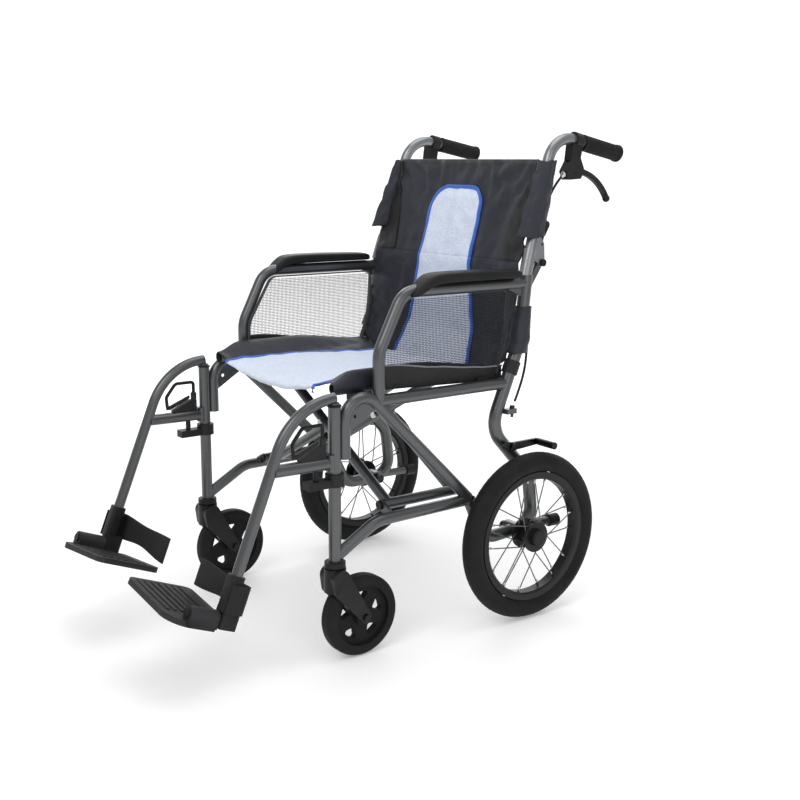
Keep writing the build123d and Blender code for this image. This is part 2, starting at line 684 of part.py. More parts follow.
def lever_housing():
    """Clamp on the handle with the slotted body that the brake lever turns in."""
    start = Vector(*HANDLE_BEND)
    along = (Vector(*HANDLE_END) - start).normalized()
    ring = rod([(start + along * 55), (start + along * 73)], FRAME_R + 5)
    neck = [(136, 920), (163, 917), (158, 892)]
    foot = [(170, 868), (160, 852), (127, 850), (119, 866), (132, 886)]
    body = plate_x(neck + foot, LEVER_X - 10, LEVER_X + 10, corner=3.5)
    body -= block((LEVER_X - 4.5, LEVER_X + 4.5), (131, 190), (840, 888))
    body -= cylinder_x(LEVER_X - 20, LEVER_X + 20, *LEVER_PIVOT, 2.5)
    return ring + body - rod(handle_path_points(), FRAME_R, HANDLE_BEND_R)


def brake_lever():
    """Curved brake blade with a ball end, and the pin that it turns on."""
    y, z = LEVER_PIVOT
    place = Plane(origin=(LEVER_X - 4, 0, 0), x_dir=(0, 1, 0), z_dir=(1, 0, 0))
    blade = make_face(
        Line((y, z + 7), (y + 24, z + 7))
        + ThreePointArc((y + 24, z + 7), (y + 66, z - 10), (y + 102, z - 48))
        + Line((y + 102, z - 48), (y + 92, z - 52))
        + ThreePointArc((y + 92, z - 52), (y + 62, z - 20), (y + 24, z - 4))
        + Line((y + 24, z - 4), (y, z - 7))
        + Line((y, z - 7), (y, z + 7))
    )
    lever = extrude(place * blade, 8)
    lever += cylinder_x(LEVER_X - 4, LEVER_X + 4, y, z, 9)
    lever += Pos(LEVER_X, y + 98, z - 51) * Sphere(7.5)
    return lever + cylinder_x(LEVER_X - 10.5, LEVER_X + 10.5, y, z, 2.44)


def brake_arm():
    """Arm behind the post with the roller that presses on the tyre."""
    y, z = BRAKE_PIVOT
    arm = hull_plate_x([(y, z, 8), (ROLLER[0], ROLLER[1], 6)], 257, 263)
    arm += hull_plate_x([(y, z, 8), (y - 20, z + 8, 4)], 257, 263)
    arm += cylinder_x(262, 312, *ROLLER, 4)
    arm += cylinder_x(266, 312, *ROLLER, 7)
    arm -= cylinder_x(250, 270, y, z, BRAKE_PIN_R + SHAFT_GAP)
    return arm


def brake_cable():
    """Cable from the lever's housing to the barrel adjuster, whole along its route."""
    bends = cable_bends(CABLE_ROUTE)
    print("brake cable bends, mm:", [round(bend, 1) for bend in bends])
    cable = rod(CABLE_ROUTE, CABLE_R, bends)
    path = FilletPolyline(*CABLE_ROUTE, radius=bends)
    wanted = pi * CABLE_R**2 * path.length
    print("brake cable length, mm:", round(path.length, 1))
    print("brake cable volume over pi r^2 length:", round(cable.volume / wanted, 4))
    return cable


def cable_bends(points):
    """The largest arc that two neighbouring runs allow, at each inner point."""
    bends = []
    for before, here, after in zip(points, points[1:], points[2:]):
        first = Vector(*here) - Vector(*before)
        second = Vector(*after) - Vector(*here)
        half_turn = radians(first.get_angle(second)) / 2
        bends.append(0.45 * min(first.length, second.length) / tan(half_turn))
    return bends


# Cross brace

def brace(tube_ys, side):
    """One half of the cross: pivot tube low on `side`, seat rail high on the other."""
    pivot = (side * PIVOT_X, PIVOT_Z)
    rail = (-side * SEAT_RAIL_X, SEAT_RAIL_Z)
    outside = cylinder_y(*PIVOT_TUBE_Y, *pivot, BRACE_R)
    outside += cylinder_y(*SEAT_RAIL_Y, *rail, BRACE_R)
    inside = cylinder_y(PIVOT_TUBE_Y[0] - 1, PIVOT_TUBE_Y[1] + 1, *pivot, PIVOT_ROD_R + SHAFT_GAP)
    inside += cylinder_y(SEAT_RAIL_Y[0] - 1, SEAT_RAIL_Y[1] + 1, *rail, BRACE_R - WALL)
    for y in tube_ys:
        low, high = Vector(pivot[0], y, pivot[1]), Vector(rail[0], y, rail[1])
        along = (high - low).normalized()
        tube = rod([tuple(low + along * 3), tuple(high - along * 3)], BRACE_R)
        tube -= rod([tuple(low + along * 13), tuple(high - along * 14)], BRACE_R - WALL)
        tube -= cylinder_y(y - 15, y + 15, 0, cross_z(), CROSS_BOLT_R + SHAFT_GAP)
        outside += tube
    return outside - inside


def cross_z():
    """Height where the two halves of the brace cross."""
    slope = (SEAT_RAIL_Z - PIVOT_Z) / (PIVOT_X + SEAT_RAIL_X)
    return PIVOT_Z + PIVOT_X * slope


def cross_bolts():
    """The two bolts that join the halves of the brace where they cross."""
    bolts = []
    for y_a, y_b in zip(BRACE_A_Y, BRACE_B_Y):
        low, high = min(y_a, y_b) - 10.5, max(y_a, y_b) + 10.5
        bolt = cylinder_y(low, high, 0, cross_z(), CROSS_BOLT_R)
        for y_from in (low - BOLT_HEAD, high):
            bolt += cylinder_y(y_from, y_from + BOLT_HEAD, 0, cross_z(), CROSS_BOLT_R + 3)
        bolts.append(bolt)
    return group(bolts)


# Upholstery

def armrest_pad():
    """Moulded pad, flat on top, with a wedge that droops over the front bend of its tube."""
    top = [(-270, 650), (-226, 688), (-150, 689), (-16, 685)]
    underside = [(-16, 669), (-222, 669), (-262, 646)]
    pad = plate_x(top + underside, PAD_X - PAD_HALF, PAD_X + PAD_HALF, corner=3.5)
    return pad - rod(in_side_plane(ARM_TUBE), FRAME_R + 0.4, ARM_BENDS)


def side_panel():
    """Mesh side panel with its solid skirt, inside the armrest tube."""
    outline = [(-328, 484), (-328, 552), (-274, 646), (-16, 646), (-22, 560), (-44, 484)]
    return plate_x(outline, *PANEL_X, corner=8)


def seat():
    """Seat sling that hangs between the two seat rails."""
    top = SEAT_RAIL_Z + BRACE_R
    place = Plane(origin=(0, SEAT_RAIL_Y[1] - 4, 0), x_dir=(1, 0, 0), z_dir=(0, -1, 0))
    section = make_face(
        ThreePointArc((-SEAT_HALF, top), (0, top - SEAT_SAG), (SEAT_HALF, top))
        + Line((SEAT_HALF, top), (SEAT_HALF, top - SEAT_THICKNESS))
        + ThreePointArc(
            (SEAT_HALF, top - SEAT_THICKNESS),
            (0, top - SEAT_SAG - SEAT_THICKNESS),
            (-SEAT_HALF, top - SEAT_THICKNESS),
        )
        + Line((-SEAT_HALF, top - SEAT_THICKNESS), (-SEAT_HALF, top))
    )
    return extrude(place * section, SEAT_RAIL_Y[1] - 4 - SEAT_RAIL_Y[0])


def back_panel(outline, half):
    """A flat stretch of the back upholstery between the posts, cut to a (y, z) outline."""
    return plate_x(outline, -half, half)


def back_cover_lower():
    return back_panel([(-16, 456), (-5, 456), (27, 692), (16, 692)], BACK_HALF)


def back_cover_upper():
    return back_panel([(14, 700), (25, 700), (75, 888), (60, 888)], BACK_HALF)


def build():
    add_pair("lower_frame", lower_frame())
    add_pair("upper_frame", upper_frame())
    add_pair("back_post", back_post())
    add_pair("frame_caps", frame_caps())
    add_pair("frame_bolts", frame_bolts())
    add_pair("rear_tyre", rear_tyre())
    add_pair("rear_rim", rear_rim())
    add_pair("rear_hub", rear_hub())
    add_pair("rear_spokes", rear_spokes())
    add_pair("caster_housing", caster_housing())
    add_pair("caster_fork", caster_fork())
    add_pair("caster_axle", caster_axle())
    add_pair("caster_wheel", caster_wheel())
    add_pair("hanger", hanger())
    add_pair("hanger_fittings", hanger_fittings())
    add_pair("release_loop", release_loop())
    add_pair("footplate", footplate())
    add_pair("heel_strap", heel_strap())
    add_pair("handle_post", handle_post())
    add_pair("fold_lever", fold_lever())
    add_pair("grip", grip())
    add_pair("lever_housing", lever_housing())
    add_pair("brake_lever", brake_lever())
    add_pair("brake_arm", brake_arm())
    add_pair("brake_cable", brake_cable())
    add_pair("armrest_pad", armrest_pad())
    add_pair("side_panel", side_panel())
    add("brace_a", brace(BRACE_A_Y, 1))
    add("brace_b", brace(BRACE_B_Y, -1))
    add("cross_bolts", cross_bolts())
    add("seat", seat())
    add("back_cover_lower", back_cover_lower())
    add("back_cover_upper", back_cover_upper())


def write():
    os.makedirs("parts", exist_ok=True)
    for name, shape in PARTS.items():
        export_step(shape, f"parts/{name}.step")


build()
write()
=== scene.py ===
from math import atan2, cos, pi, radians, sin, sqrt

import bpy
import bmesh
from mathutils import Matrix, Vector, noise


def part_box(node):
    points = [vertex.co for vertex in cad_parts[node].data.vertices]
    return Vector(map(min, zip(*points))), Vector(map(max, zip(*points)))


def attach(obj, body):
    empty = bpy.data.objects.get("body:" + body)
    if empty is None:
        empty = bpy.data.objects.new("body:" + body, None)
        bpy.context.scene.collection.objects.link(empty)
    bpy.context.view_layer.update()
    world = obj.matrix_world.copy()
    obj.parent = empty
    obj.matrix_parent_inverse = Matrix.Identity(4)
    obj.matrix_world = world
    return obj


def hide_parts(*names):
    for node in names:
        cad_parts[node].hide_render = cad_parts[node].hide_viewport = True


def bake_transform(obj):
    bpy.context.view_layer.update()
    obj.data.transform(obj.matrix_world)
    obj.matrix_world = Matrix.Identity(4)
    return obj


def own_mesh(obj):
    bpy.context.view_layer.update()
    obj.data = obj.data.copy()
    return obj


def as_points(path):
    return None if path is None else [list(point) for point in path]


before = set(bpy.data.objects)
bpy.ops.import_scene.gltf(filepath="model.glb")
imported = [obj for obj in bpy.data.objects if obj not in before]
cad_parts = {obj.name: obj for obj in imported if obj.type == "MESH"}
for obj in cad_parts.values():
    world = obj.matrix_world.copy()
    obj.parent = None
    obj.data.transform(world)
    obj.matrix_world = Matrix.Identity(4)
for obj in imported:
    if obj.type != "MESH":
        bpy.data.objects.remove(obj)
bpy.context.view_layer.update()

# The chair faces -Y, +X is the occupant's left, and the floor is z = 0.
# Points are given in millimetres from the rear axle's place on the floor.
WHEEL_LOW, WHEEL_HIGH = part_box("left_rear_tyre")
AXLE_Y = (WHEEL_LOW.y + WHEEL_HIGH.y) / 2
WHEEL_X = (WHEEL_LOW.x + WHEEL_HIGH.x) / 2
WHEEL_R = (WHEEL_HIGH.z - WHEEL_LOW.z) / 2
MM = 0.001
SIDES = {"left": 1, "right": -1}

FRAME_X = 242.0
TUBE_R = 11.1
POST_R = 12.7
RAIL_X = 206.0
RAIL_Z = 490.0
RAIL_R = 10.0
SEAT_FRONT = -411.0
SEAT_BACK = -62.0

# A back post leans back above its knee, and leans more and inwards above the hinge's seam.
SEAM_Z = 672.0
KNEE_Y, KNEE_Z = 2.0, 545.0
LEAN_BELOW_KNEE = 0.412
LEAN_ABOVE_KNEE = 14 / 135
HANDLE_FOOT = (242.4, 9.8, 664.0)
HANDLE_LEAN_IN = 18.4 / 273
HANDLE_LEAN_BACK = 82.2 / 273


def mm(x, y, z):
    """A point in metres from millimetres measured from the rear axle's place on the floor."""
    return Vector((x * MM, AXLE_Y + y * MM, z * MM))


def smooth(t):
    """0 below 0, 1 above 1, and an S-shaped rise between."""
    t = min(1.0, max(0.0, t))
    return t * t * (3 - 2 * t)


def mix(a, b, t):
    return a + (b - a) * t


# Materials ---------------------------------------------------------------

class Nodes:
    """Short calls that add shader nodes to one material."""

    def __init__(self, name):
        self.material = bpy.data.materials.new(name)
        self.material.use_nodes = True
        self.tree = self.material.node_tree
        self.shader = self.tree.nodes["Principled BSDF"]
        self.place = self.tree.nodes.new("ShaderNodeTexCoord").outputs["Object"]

    def link(self, output, input_):
        self.tree.links.new(output, input_)

    def fixed(self, **values):
        """Sets shader inputs by name, with _ for a space."""
        for name, value in values.items():
            self.shader.inputs[name.replace("_", " ")].default_value = value

    def noise(self, scale, detail=3.0, rough=0.5, stretch=None):
        node = self.tree.nodes.new("ShaderNodeTexNoise")
        node.inputs["Scale"].default_value = scale
        node.inputs["Detail"].default_value = detail
        node.inputs["Roughness"].default_value = rough
        self.link(self.stretched(stretch) if stretch else self.place, node.inputs["Vector"])
        return node.outputs["Fac"]

    def stretched(self, scale):
        """The object's own coordinates, scaled along each axis."""
        node = self.tree.nodes.new("ShaderNodeMapping")
        node.inputs["Scale"].default_value = scale
        self.link(self.place, node.inputs["Vector"])
        return node.outputs["Vector"]

    def waves(self, direction, period):
        """Straight bands across a direction, with a period in metres."""
        node = self.tree.nodes.new("ShaderNodeTexWave")
        node.bands_direction = direction
        node.inputs["Scale"].default_value = pi / (10 * period)
        self.link(self.place, node.inputs["Vector"])
        return node.outputs["Fac"]

    def cells(self, scale):
        """Distances in an irregular cell pattern."""
        node = self.tree.nodes.new("ShaderNodeTexVoronoi")
        node.inputs["Scale"].default_value = scale
        self.link(self.place, node.inputs["Vector"])
        return node.outputs["Distance"]

    def math(self, operation, a, b=0.5):
        """One sum on two numbers or outputs."""
        node = self.tree.nodes.new("ShaderNodeMath")
        node.operation = operation
        for value, socket in zip((a, b), node.inputs):
            if isinstance(value, (int, float)):
                socket.default_value = value
            else:
                self.link(value, socket)
        return node.outputs[0]

    def ramp(self, value, low, high, colours):
        """Blends between two colours as a value goes from low to high."""
        node = self.tree.nodes.new("ShaderNodeValToRGB")
        stops = node.color_ramp.elements
        for stop, position, colour in zip(stops, (low, high), colours):
            stop.position = position
            stop.color = (*colour, 1)
        self.link(value, node.inputs["Fac"])
        return node.outputs["Color"]

    def rough_range(self, value, low, high):
        """Lets a value from 0 to 1 set the roughness between low and high."""
        node = self.tree.nodes.new("ShaderNodeMapRange")
        node.inputs["To Min"].default_value = low
        node.inputs["To Max"].default_value = high
        self.link(value, node.inputs["Value"])
        self.link(node.outputs["Result"], self.shader.inputs["Roughness"])

    def worn_edges(self):
        """1 on sharp convex edges, 0 elsewhere."""
        node = self.tree.nodes.new("ShaderNodeNewGeometry")
        return self.math("MULTIPLY", self.math("SUBTRACT", node.outputs["Pointiness"], 0.53), 6.0)

    def mix_colour(self, amount, a, b):
        """Blends two colours, each an output or an (r, g, b)."""
        node = self.tree.nodes.new("ShaderNodeMix")
        node.data_type = "RGBA"
        self.link(amount, node.inputs[0])
        for value, socket in ((a, node.inputs[6]), (b, node.inputs[7])):
            if isinstance(value, tuple):
                socket.default_value = (*value, 1)
            else:
                self.link(value, socket)
        return node.outputs[2]

    def colour(self, output):
        self.link(output, self.shader.inputs["Base Color"])

    def bump(self, *layers):
        """Bump from (height, depth in metres) pairs, stacked."""
        normal = None
        for height, depth in layers:
            node = self.tree.nodes.new("ShaderNodeBump")
            node.inputs["Distance"].default_value = depth
            node.inputs["Strength"].default_value = 1.0
            self.link(height, node.inputs["Height"])
            if normal:
                self.link(normal, node.inputs["Normal"])
            normal = node.outputs["Normal"]
        self.link(normal, self.shader.inputs["Normal"])


def scaled(colour, k):
    """A colour made darker or paler."""
    return tuple(min(1.0, c * k) for c in colour)


def metal_paint(name, colour, metallic=0.75, rough=(0.24, 0.36)):
    """Metallic lacquer with fine flakes and faint handling marks."""
    n = Nodes(name)
    n.fixed(Metallic=metallic, Coat_Weight=0.25, Coat_Roughness=0.2)
    flakes = n.noise(2600, 1.0)
    base = n.ramp(flakes, 0.35, 0.65, (scaled(colour, 0.86), scaled(colour, 1.14)))
    dust = n.noise(9, 4.0, 0.6)
    n.colour(n.mix_colour(n.math("MULTIPLY", dust, 0.16), base, scaled(colour, 1.35)))
    n.rough_range(n.noise(35, 4.0, 0.6), *rough)
    n.bump((n.noise(420, 2.0), 0.00006), (flakes, 0.00001))
    return n.material


def plastic(name, colour=(0.008, 0.008, 0.0085), rough=(0.38, 0.55), grain=0.00006, scale=900):
    """Moulded plastic with a fine eroded grain and slightly paler edges."""
    n = Nodes(name)
    n.fixed(Specular_IOR_Level=0.2)
    base = n.ramp(n.noise(14, 4.0), 0.3, 0.7, (scaled(colour, 0.85), scaled(colour, 1.25)))
    n.colour(n.mix_colour(n.worn_edges(), base, scaled(colour, 3.0)))
    n.rough_range(n.noise(60, 3.0), *rough)
    n.bump((n.noise(scale, 2.0, 0.6), grain))
    return n.material


def rubber(name, colour=(0.0075, 0.0075, 0.008), dust=0.2):
    """Tyre rubber: matt, with dust in its pores and a faint grain."""
    n = Nodes(name)
    n.fixed(Specular_IOR_Level=0.18)
    base = n.ramp(n.noise(22, 5.0, 0.6), 0.3, 0.75, (scaled(colour, 0.8), scaled(colour, 1.5)))
    n.colour(n.mix_colour(n.math("MULTIPLY", n.noise(6, 3.0), dust * 0.5), base, (0.04, 0.039, 0.037)))
    n.rough_range(n.noise(80, 3.0), 0.55, 0.78)
    n.bump((n.noise(1300, 3.0, 0.6), 0.00008))
    return n.material


def plated(name, colour=(0.62, 0.62, 0.61), rough=(0.22, 0.36)):
    """Zinc-plated steel with soft brushed marks."""
    n = Nodes(name)
    n.fixed(Metallic=1.0)
    n.colour(n.ramp(n.noise(60, 4.0, 0.6), 0.3, 0.7, (scaled(colour, 0.8), scaled(colour, 1.1))))
    n.rough_range(n.noise(140, 3.0), *rough)
    n.bump((n.noise(900, 2.0, 0.5, stretch=(1, 0.1, 0.1)), 0.00003))
    return n.material


def nylon(name, colour, period=0.0011, sheen=0.05, mottled=0.25):
    """Woven nylon: warp and weft threads, uneven dye and a soft sheen."""
    n = Nodes(name)
    n.fixed(Sheen_Weight=sheen, Sheen_Roughness=0.4, Specular_IOR_Level=0.42)
    warp = n.math("MAXIMUM", n.waves("X", period), n.waves("Y", period))
    weave = n.math("MULTIPLY", warp, n.waves("Z", period))
    dye = n.noise(11, 5.0, 0.62)
    base = n.ramp(dye, 0.28, 0.74, (scaled(colour, 1 - mottled), scaled(colour, 1 + mottled)))
    n.colour(n.mix_colour(n.math("MULTIPLY", weave, 0.35), base, scaled(colour, 1.7)))
    n.rough_range(n.noise(30, 3.0), 0.40, 0.58)
    n.bump((n.noise(30, 5.0, 0.6), 0.0022), (weave, 0.00016))
    return n.material


def quilt(name):
    """Pale spacer fabric of the centre panels: small dimples in staggered rows, each with painted shade
    in its hollow.
    """
    n = Nodes(name)
    n.fixed(Sheen_Weight=0.2, Sheen_Roughness=0.5, Subsurface_Weight=0.04)
    dimples = n.cells(210)
    # Painted shade: each dimple's centre is darkened towards the greyer blue, as if shaded in its
    # hollow.
    pale, painted_dimple_shade = (0.70, 0.755, 0.88), (0.50, 0.56, 0.70)
    base = n.ramp(dimples, 0.05, 0.45, (painted_dimple_shade, pale))
    n.colour(n.mix_colour(n.math("MULTIPLY", n.noise(13, 5.0, 0.6), 0.45), base, (0.58, 0.64, 0.77)))
    n.rough_range(n.noise(50, 3.0), 0.62, 0.8)
    n.bump((n.noise(55, 4.0, 0.6), 0.0012), (dimples, 0.0007))
    return n.material


def webbing(name, colour=(0.016, 0.016, 0.017)):
    """Herringbone webbing."""
    n = Nodes(name)
    n.fixed(Sheen_Weight=0.05, Specular_IOR_Level=0.2)
    rise = n.waves("Z", 0.0016)
    cross = n.waves("X", 0.0022)
    threads = n.math("MULTIPLY", rise, cross)
    n.colour(n.ramp(threads, 0.1, 0.7, (scaled(colour, 0.7), scaled(colour, 1.9))))
    n.rough_range(n.noise(60, 3.0), 0.6, 0.8)
    n.bump((threads, 0.0004))
    return n.material


def skinned_foam(name):
    """Integral-skin polyurethane with a leather-like grain."""
    n = Nodes(name)
    n.fixed(Specular_IOR_Level=0.22)
    grain = n.cells(420)
    n.colour(n.ramp(n.noise(18, 4.0), 0.3, 0.7, ((0.007, 0.007, 0.0075), (0.013, 0.013, 0.014))))
    n.rough_range(n.noise(26, 4.0), 0.42, 0.58)
    n.bump((grain, 0.00022), (n.noise(70, 3.0), 0.0002))
    return n.material


def cloth_edge(name, colour, period=0.0012):
    """Bound edge or piping with fine diagonal ribs."""
    n = Nodes(name)
    n.fixed(Sheen_Weight=0.3)
    ribs = n.waves("DIAGONAL", period)
    n.colour(n.ramp(ribs, 0.1, 0.8, (scaled(colour, 0.7), scaled(colour, 1.15))))
    n.rough_range(n.noise(60, 3.0), 0.5, 0.7)
    n.bump((ribs, 0.0002))
    return n.material


def backdrop(name, glow):
    """Pale matt backdrop paper, lifted towards white by a faint glow of its own."""
    n = Nodes(name)
    n.colour(n.ramp(n.noise(3, 2.0), 0.3, 0.7, ((0.84, 0.84, 0.84), (0.87, 0.87, 0.87))))
    n.fixed(Roughness=0.7, Emission_Strength=glow)
    n.shader.inputs["Emission Color"].default_value = (1, 1, 1, 1)
    return n.material


M = {
    "frame": metal_paint("graphite_lacquer", (0.100, 0.104, 0.107)),
    "handle": metal_paint("silver_lacquer", (0.235, 0.245, 0.255)),
    "plastic": plastic("black_plastic"),
    "rim": plastic("rim_plastic", (0.010, 0.010, 0.0105), (0.3, 0.45)),
    "fork": plastic("fork_plastic", (0.008, 0.008, 0.0085), (0.3, 0.45)),
    "footplate": plastic("footplate_plastic", (0.014, 0.014, 0.015), (0.5, 0.68), 0.00012, 600),
    "steel": plated("zinc_plate"),
    "dark_wire": plated("dark_wire", (0.16, 0.16, 0.165), (0.3, 0.45)),
    "coated_wire": plastic("coated_wire", (0.012, 0.012, 0.012), (0.3, 0.4)),
    "dark_metal": plated("black_plate", (0.035, 0.035, 0.036), (0.3, 0.42)),
    "tyre": rubber("tyre_rubber"),
    "caster": rubber("caster_rubber", (0.008, 0.008, 0.0085), 0.15),
    "grip": rubber("grip_rubber", (0.011, 0.011, 0.011), 0.1),
    "sheath": plastic("cable_sheath", (0.010, 0.010, 0.010), (0.3, 0.4)),
    "nylon": nylon("charcoal_nylon", (0.0135, 0.0165, 0.025)),
    "skirt": nylon("skirt_nylon", (0.007, 0.007, 0.0085), sheen=0.03),
    "quilt": quilt("pale_spacer_fabric"),
    "piping": cloth_edge("blue_piping", (0.010, 0.115, 0.60)),
    "binding": cloth_edge("black_binding", (0.016, 0.016, 0.018)),
    "thread": cloth_edge("stitch_thread", (0.20, 0.21, 0.23), 0.0006),
    "strap": webbing("strap_webbing"),
    "mesh": plastic("mesh_strand", (0.016, 0.016, 0.019), (0.5, 0.7)),
    "foam": skinned_foam("pad_skin"),
}

CAD_LOOKS = {
    "lower_frame": "frame", "upper_frame": "frame", "back_post": "frame", "hanger": "frame",
    "handle_post": "handle", "frame_caps": "plastic", "frame_bolts": "dark_metal", "rear_tyre": "tyre",
    "rear_rim": "rim", "rear_hub": "rim", "rear_spokes": "dark_wire", "caster_housing": "plastic",
    "caster_fork": "fork", "caster_axle": "dark_metal", "caster_wheel": "caster",
    "hanger_fittings": "plastic", "release_loop": "coated_wire", "footplate": "footplate",
    "fold_lever": "plastic", "lever_housing": "plastic", "brake_lever": "plastic",
    "brake_arm": "dark_metal", "grip": "grip", "brake_cable": "sheath", "heel_strap": "strap",
    "armrest_pad": "foam", "side_panel": "skirt", "brace_a": "frame", "brace_b": "frame",
    "cross_bolts": "steel", "seat": "nylon", "back_cover_lower": "nylon", "back_cover_upper": "nylon",
}


def paint_cad():
    """Gives every CAD node its procedural material."""
    for name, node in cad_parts.items():
        kind = name.removeprefix("left_").removeprefix("right_")
        node.data.materials.clear()
        node.data.materials.append(M[CAD_LOOKS[kind]])


# Mesh helpers --------------------------------------------------------------

def piece(name, points, faces, look, soft=True):
    """A new object from points and faces, with its material."""
    data = bpy.data.meshes.new(name)
    data.from_pydata([tuple(point) for point in points], [], faces)
    data.validate()
    if soft:
        data.shade_smooth()
    thing = bpy.data.objects.new(name, data)
    bpy.context.scene.collection.objects.link(thing)
    data.materials.append(M[look])
    return thing


def sheet_faces(rows, columns, around=False, wrap_rows=False):
    """Quads of a grid of points, row by row."""
    faces = []
    for i in range(rows - (0 if wrap_rows else 1)):
        for j in range(columns - (0 if around else 1)):
            a = i * columns + j
            b = i * columns + (j + 1) % columns
            c = ((i + 1) % rows) * columns
            faces.append((a, b, c + (j + 1) % columns, c + j))
    return faces


def cloth_sheet(name, surface, rows, columns, look, thickness=1.2):
    """A sheet given by surface(u, v) with u and v from 0 to 1, thickened evenly."""
    points = [surface(j / (columns - 1), i / (rows - 1)) for i in range(rows) for j in range(columns)]
    thing = piece(name, points, sheet_faces(rows, columns), look)
    solid = thing.modifiers.new("thickness", "SOLIDIFY")
    solid.thickness = thickness * MM
    solid.offset = 0.0
    thing.modifiers.new("even_shading", "WEIGHTED_NORMAL")
    return thing


def swept(name, path, section, look, closed=False, up=(0, 0, 1), caps=True):
    """Sweeps (side, up) section points in mm along a list of points, keeping them upright."""
    count = len(path)
    points = []
    for i, here in enumerate(path):
        before = path[(i - 1) % count] if closed or i else here
        after = path[(i + 1) % count] if closed or i < count - 1 else here
        along = (after - before).normalized()
        side = along.cross(Vector(up))
        side = side.normalized() if side.length > 1e-4 else Vector((1, 0, 0))
        lift = side.cross(along)
        points += [here + side * (a * MM) + lift * (b * MM) for a, b in section]
    faces = sheet_faces(count, len(section), around=True, wrap_rows=closed)
    if caps and not closed:
        faces.append(tuple(range(len(section)))[::-1])
        faces.append(tuple(range((count - 1) * len(section), count * len(section))))
    return piece(name, points, faces, look)


def flat_oval(half_width, half_height, count=12):
    """Outline of an oval, as (side, up) points in mm."""
    turns = [2 * pi * n / count for n in range(count)]
    return [(half_width * cos(turn), half_height * sin(turn)) for turn in turns]


def circle(radius, count=12):
    return flat_oval(radius, radius, count)


def rounded(points, bend, steps=6):
    """The polyline with its inner corners replaced by arcs of about the given radius, in mm."""
    result = [points[0]]
    for before, here, after in zip(points, points[1:], points[2:]):
        cut = min(bend * MM, (here - before).length * 0.45, (after - here).length * 0.45)
        start = here + (before - here).normalized() * cut
        end = here + (after - here).normalized() * cut
        for n in range(steps + 1):
            t = n / steps
            result.append(start.lerp(here, t).lerp(here.lerp(end, t), t))
    result.append(points[-1])
    return result


def lathe(name, centre, along, outline, look, count=32, turned=None):
    """Turns (distance along, radius) points in mm round a direction."""
    along = Vector(along).normalized()
    side = along.orthogonal().normalized()
    other = along.cross(side)
    points = []
    for distance, radius in outline:
        for n in range(count):
            angle = 2 * pi * n / count
            r = radius if turned is None else turned(distance, radius, angle)
            around = side * cos(angle) + other * sin(angle)
            points.append(centre + along * (distance * MM) + around * (r * MM))
    return piece(name, points, sheet_faces(len(outline), count, around=True), look)


def fix_normals(thing):
    """Turns every face of a mesh outwards."""
    shape = bmesh.new()
    shape.from_mesh(thing.data)
    bmesh.ops.recalc_face_normals(shape, faces=shape.faces)
    shape.to_mesh(thing.data)
    shape.free()


def join(name, things):
    """Joins several objects into the first one."""
    bpy.ops.object.select_all(action="DESELECT")
    for thing in things:
        thing.select_set(True)
    bpy.context.view_layer.objects.active = things[0]
    bpy.ops.object.join()
    things[0].name = name
    things[0].data.name = name
    return things[0]


# The posts that the back and its sleeves follow --------------------------------

def post_y(z):
    """Middle of a back post, side view, at a height."""
    if z > SEAM_Z:
        return HANDLE_FOOT[1] + (z - HANDLE_FOOT[2]) * HANDLE_LEAN_BACK
    if z > KNEE_Z:
        return KNEE_Y + (z - KNEE_Z) * LEAN_ABOVE_KNEE
    return KNEE_Y - (KNEE_Z - z) * LEAN_BELOW_KNEE


def post_x(z):
    """How far out a back post stands at a height."""
    if z > SEAM_Z:
        return HANDLE_FOOT[0] - (z - HANDLE_FOOT[2]) * HANDLE_LEAN_IN
    return FRAME_X


# Back upholstery -----------------------------------------------------------

# The sling runs from its foot to its top, in two pieces that meet at the split. The lower piece
# goes on behind the upper one, as far as the lap. The pale panel ends below the sling's top.
BACK_FOOT_Z = 460.0
BACK_FOOT_HALF = 203.0
BACK_SPLIT_Z = 696.0
BACK_LAP_Z = 728.0
BACK_TOP_Z = 886.0
PANEL_SPLIT_Z = 694.6
PANEL_TOP_Z = 832.0
PANEL_CORNER = 42.0
STRIP_FOOT_Z, STRIP_TOP_Z = 698.0, 885.0
TUCK_DEPTH = 3.6


def wrinkle(point, size, depth, seed=0.0):
    """A smooth bump in mm for a place in mm."""
    return depth * noise.noise(Vector((point[0] / size + seed, point[1] / size, point[2] / size)))


def corner_folds(x, z):
    """Folds that fan out from the top corners, where the sling is pulled hardest."""
    away = post_x(z) - abs(x)
    down = 905 - z
    reach = sqrt(away * away + down * down)
    turn = atan2(away, down)
    wave = sin(13 * turn + 5 * noise.noise(Vector((x / 70, z / 70, 4.0))))
    return 3.4 * wave * smooth(reach / 60) * (1 - smooth((reach - 90) / 170))


def top_gathers(x, z):
    """Short upright gathers under the top hem."""
    wave = sin(x / 8.5 + 5 * noise.noise(Vector((x / 45, 0, z / 80))))
    return 2.6 * wave * smooth((z - 790) / 60) * (0.5 + noise.noise(Vector((x / 60, 2.0, 0))))


def sling_front(z):
    """Front of the two posts as the sling spans them, without the step at the hinge."""
    low = post_y(min(z, SEAM_Z)) - POST_R
    high = post_y(max(z, SEAM_Z + 0.1)) - mix(POST_R, TUBE_R, smooth((z - 725) / 40))
    return mix(low, high, smooth((z - 645) / 75))


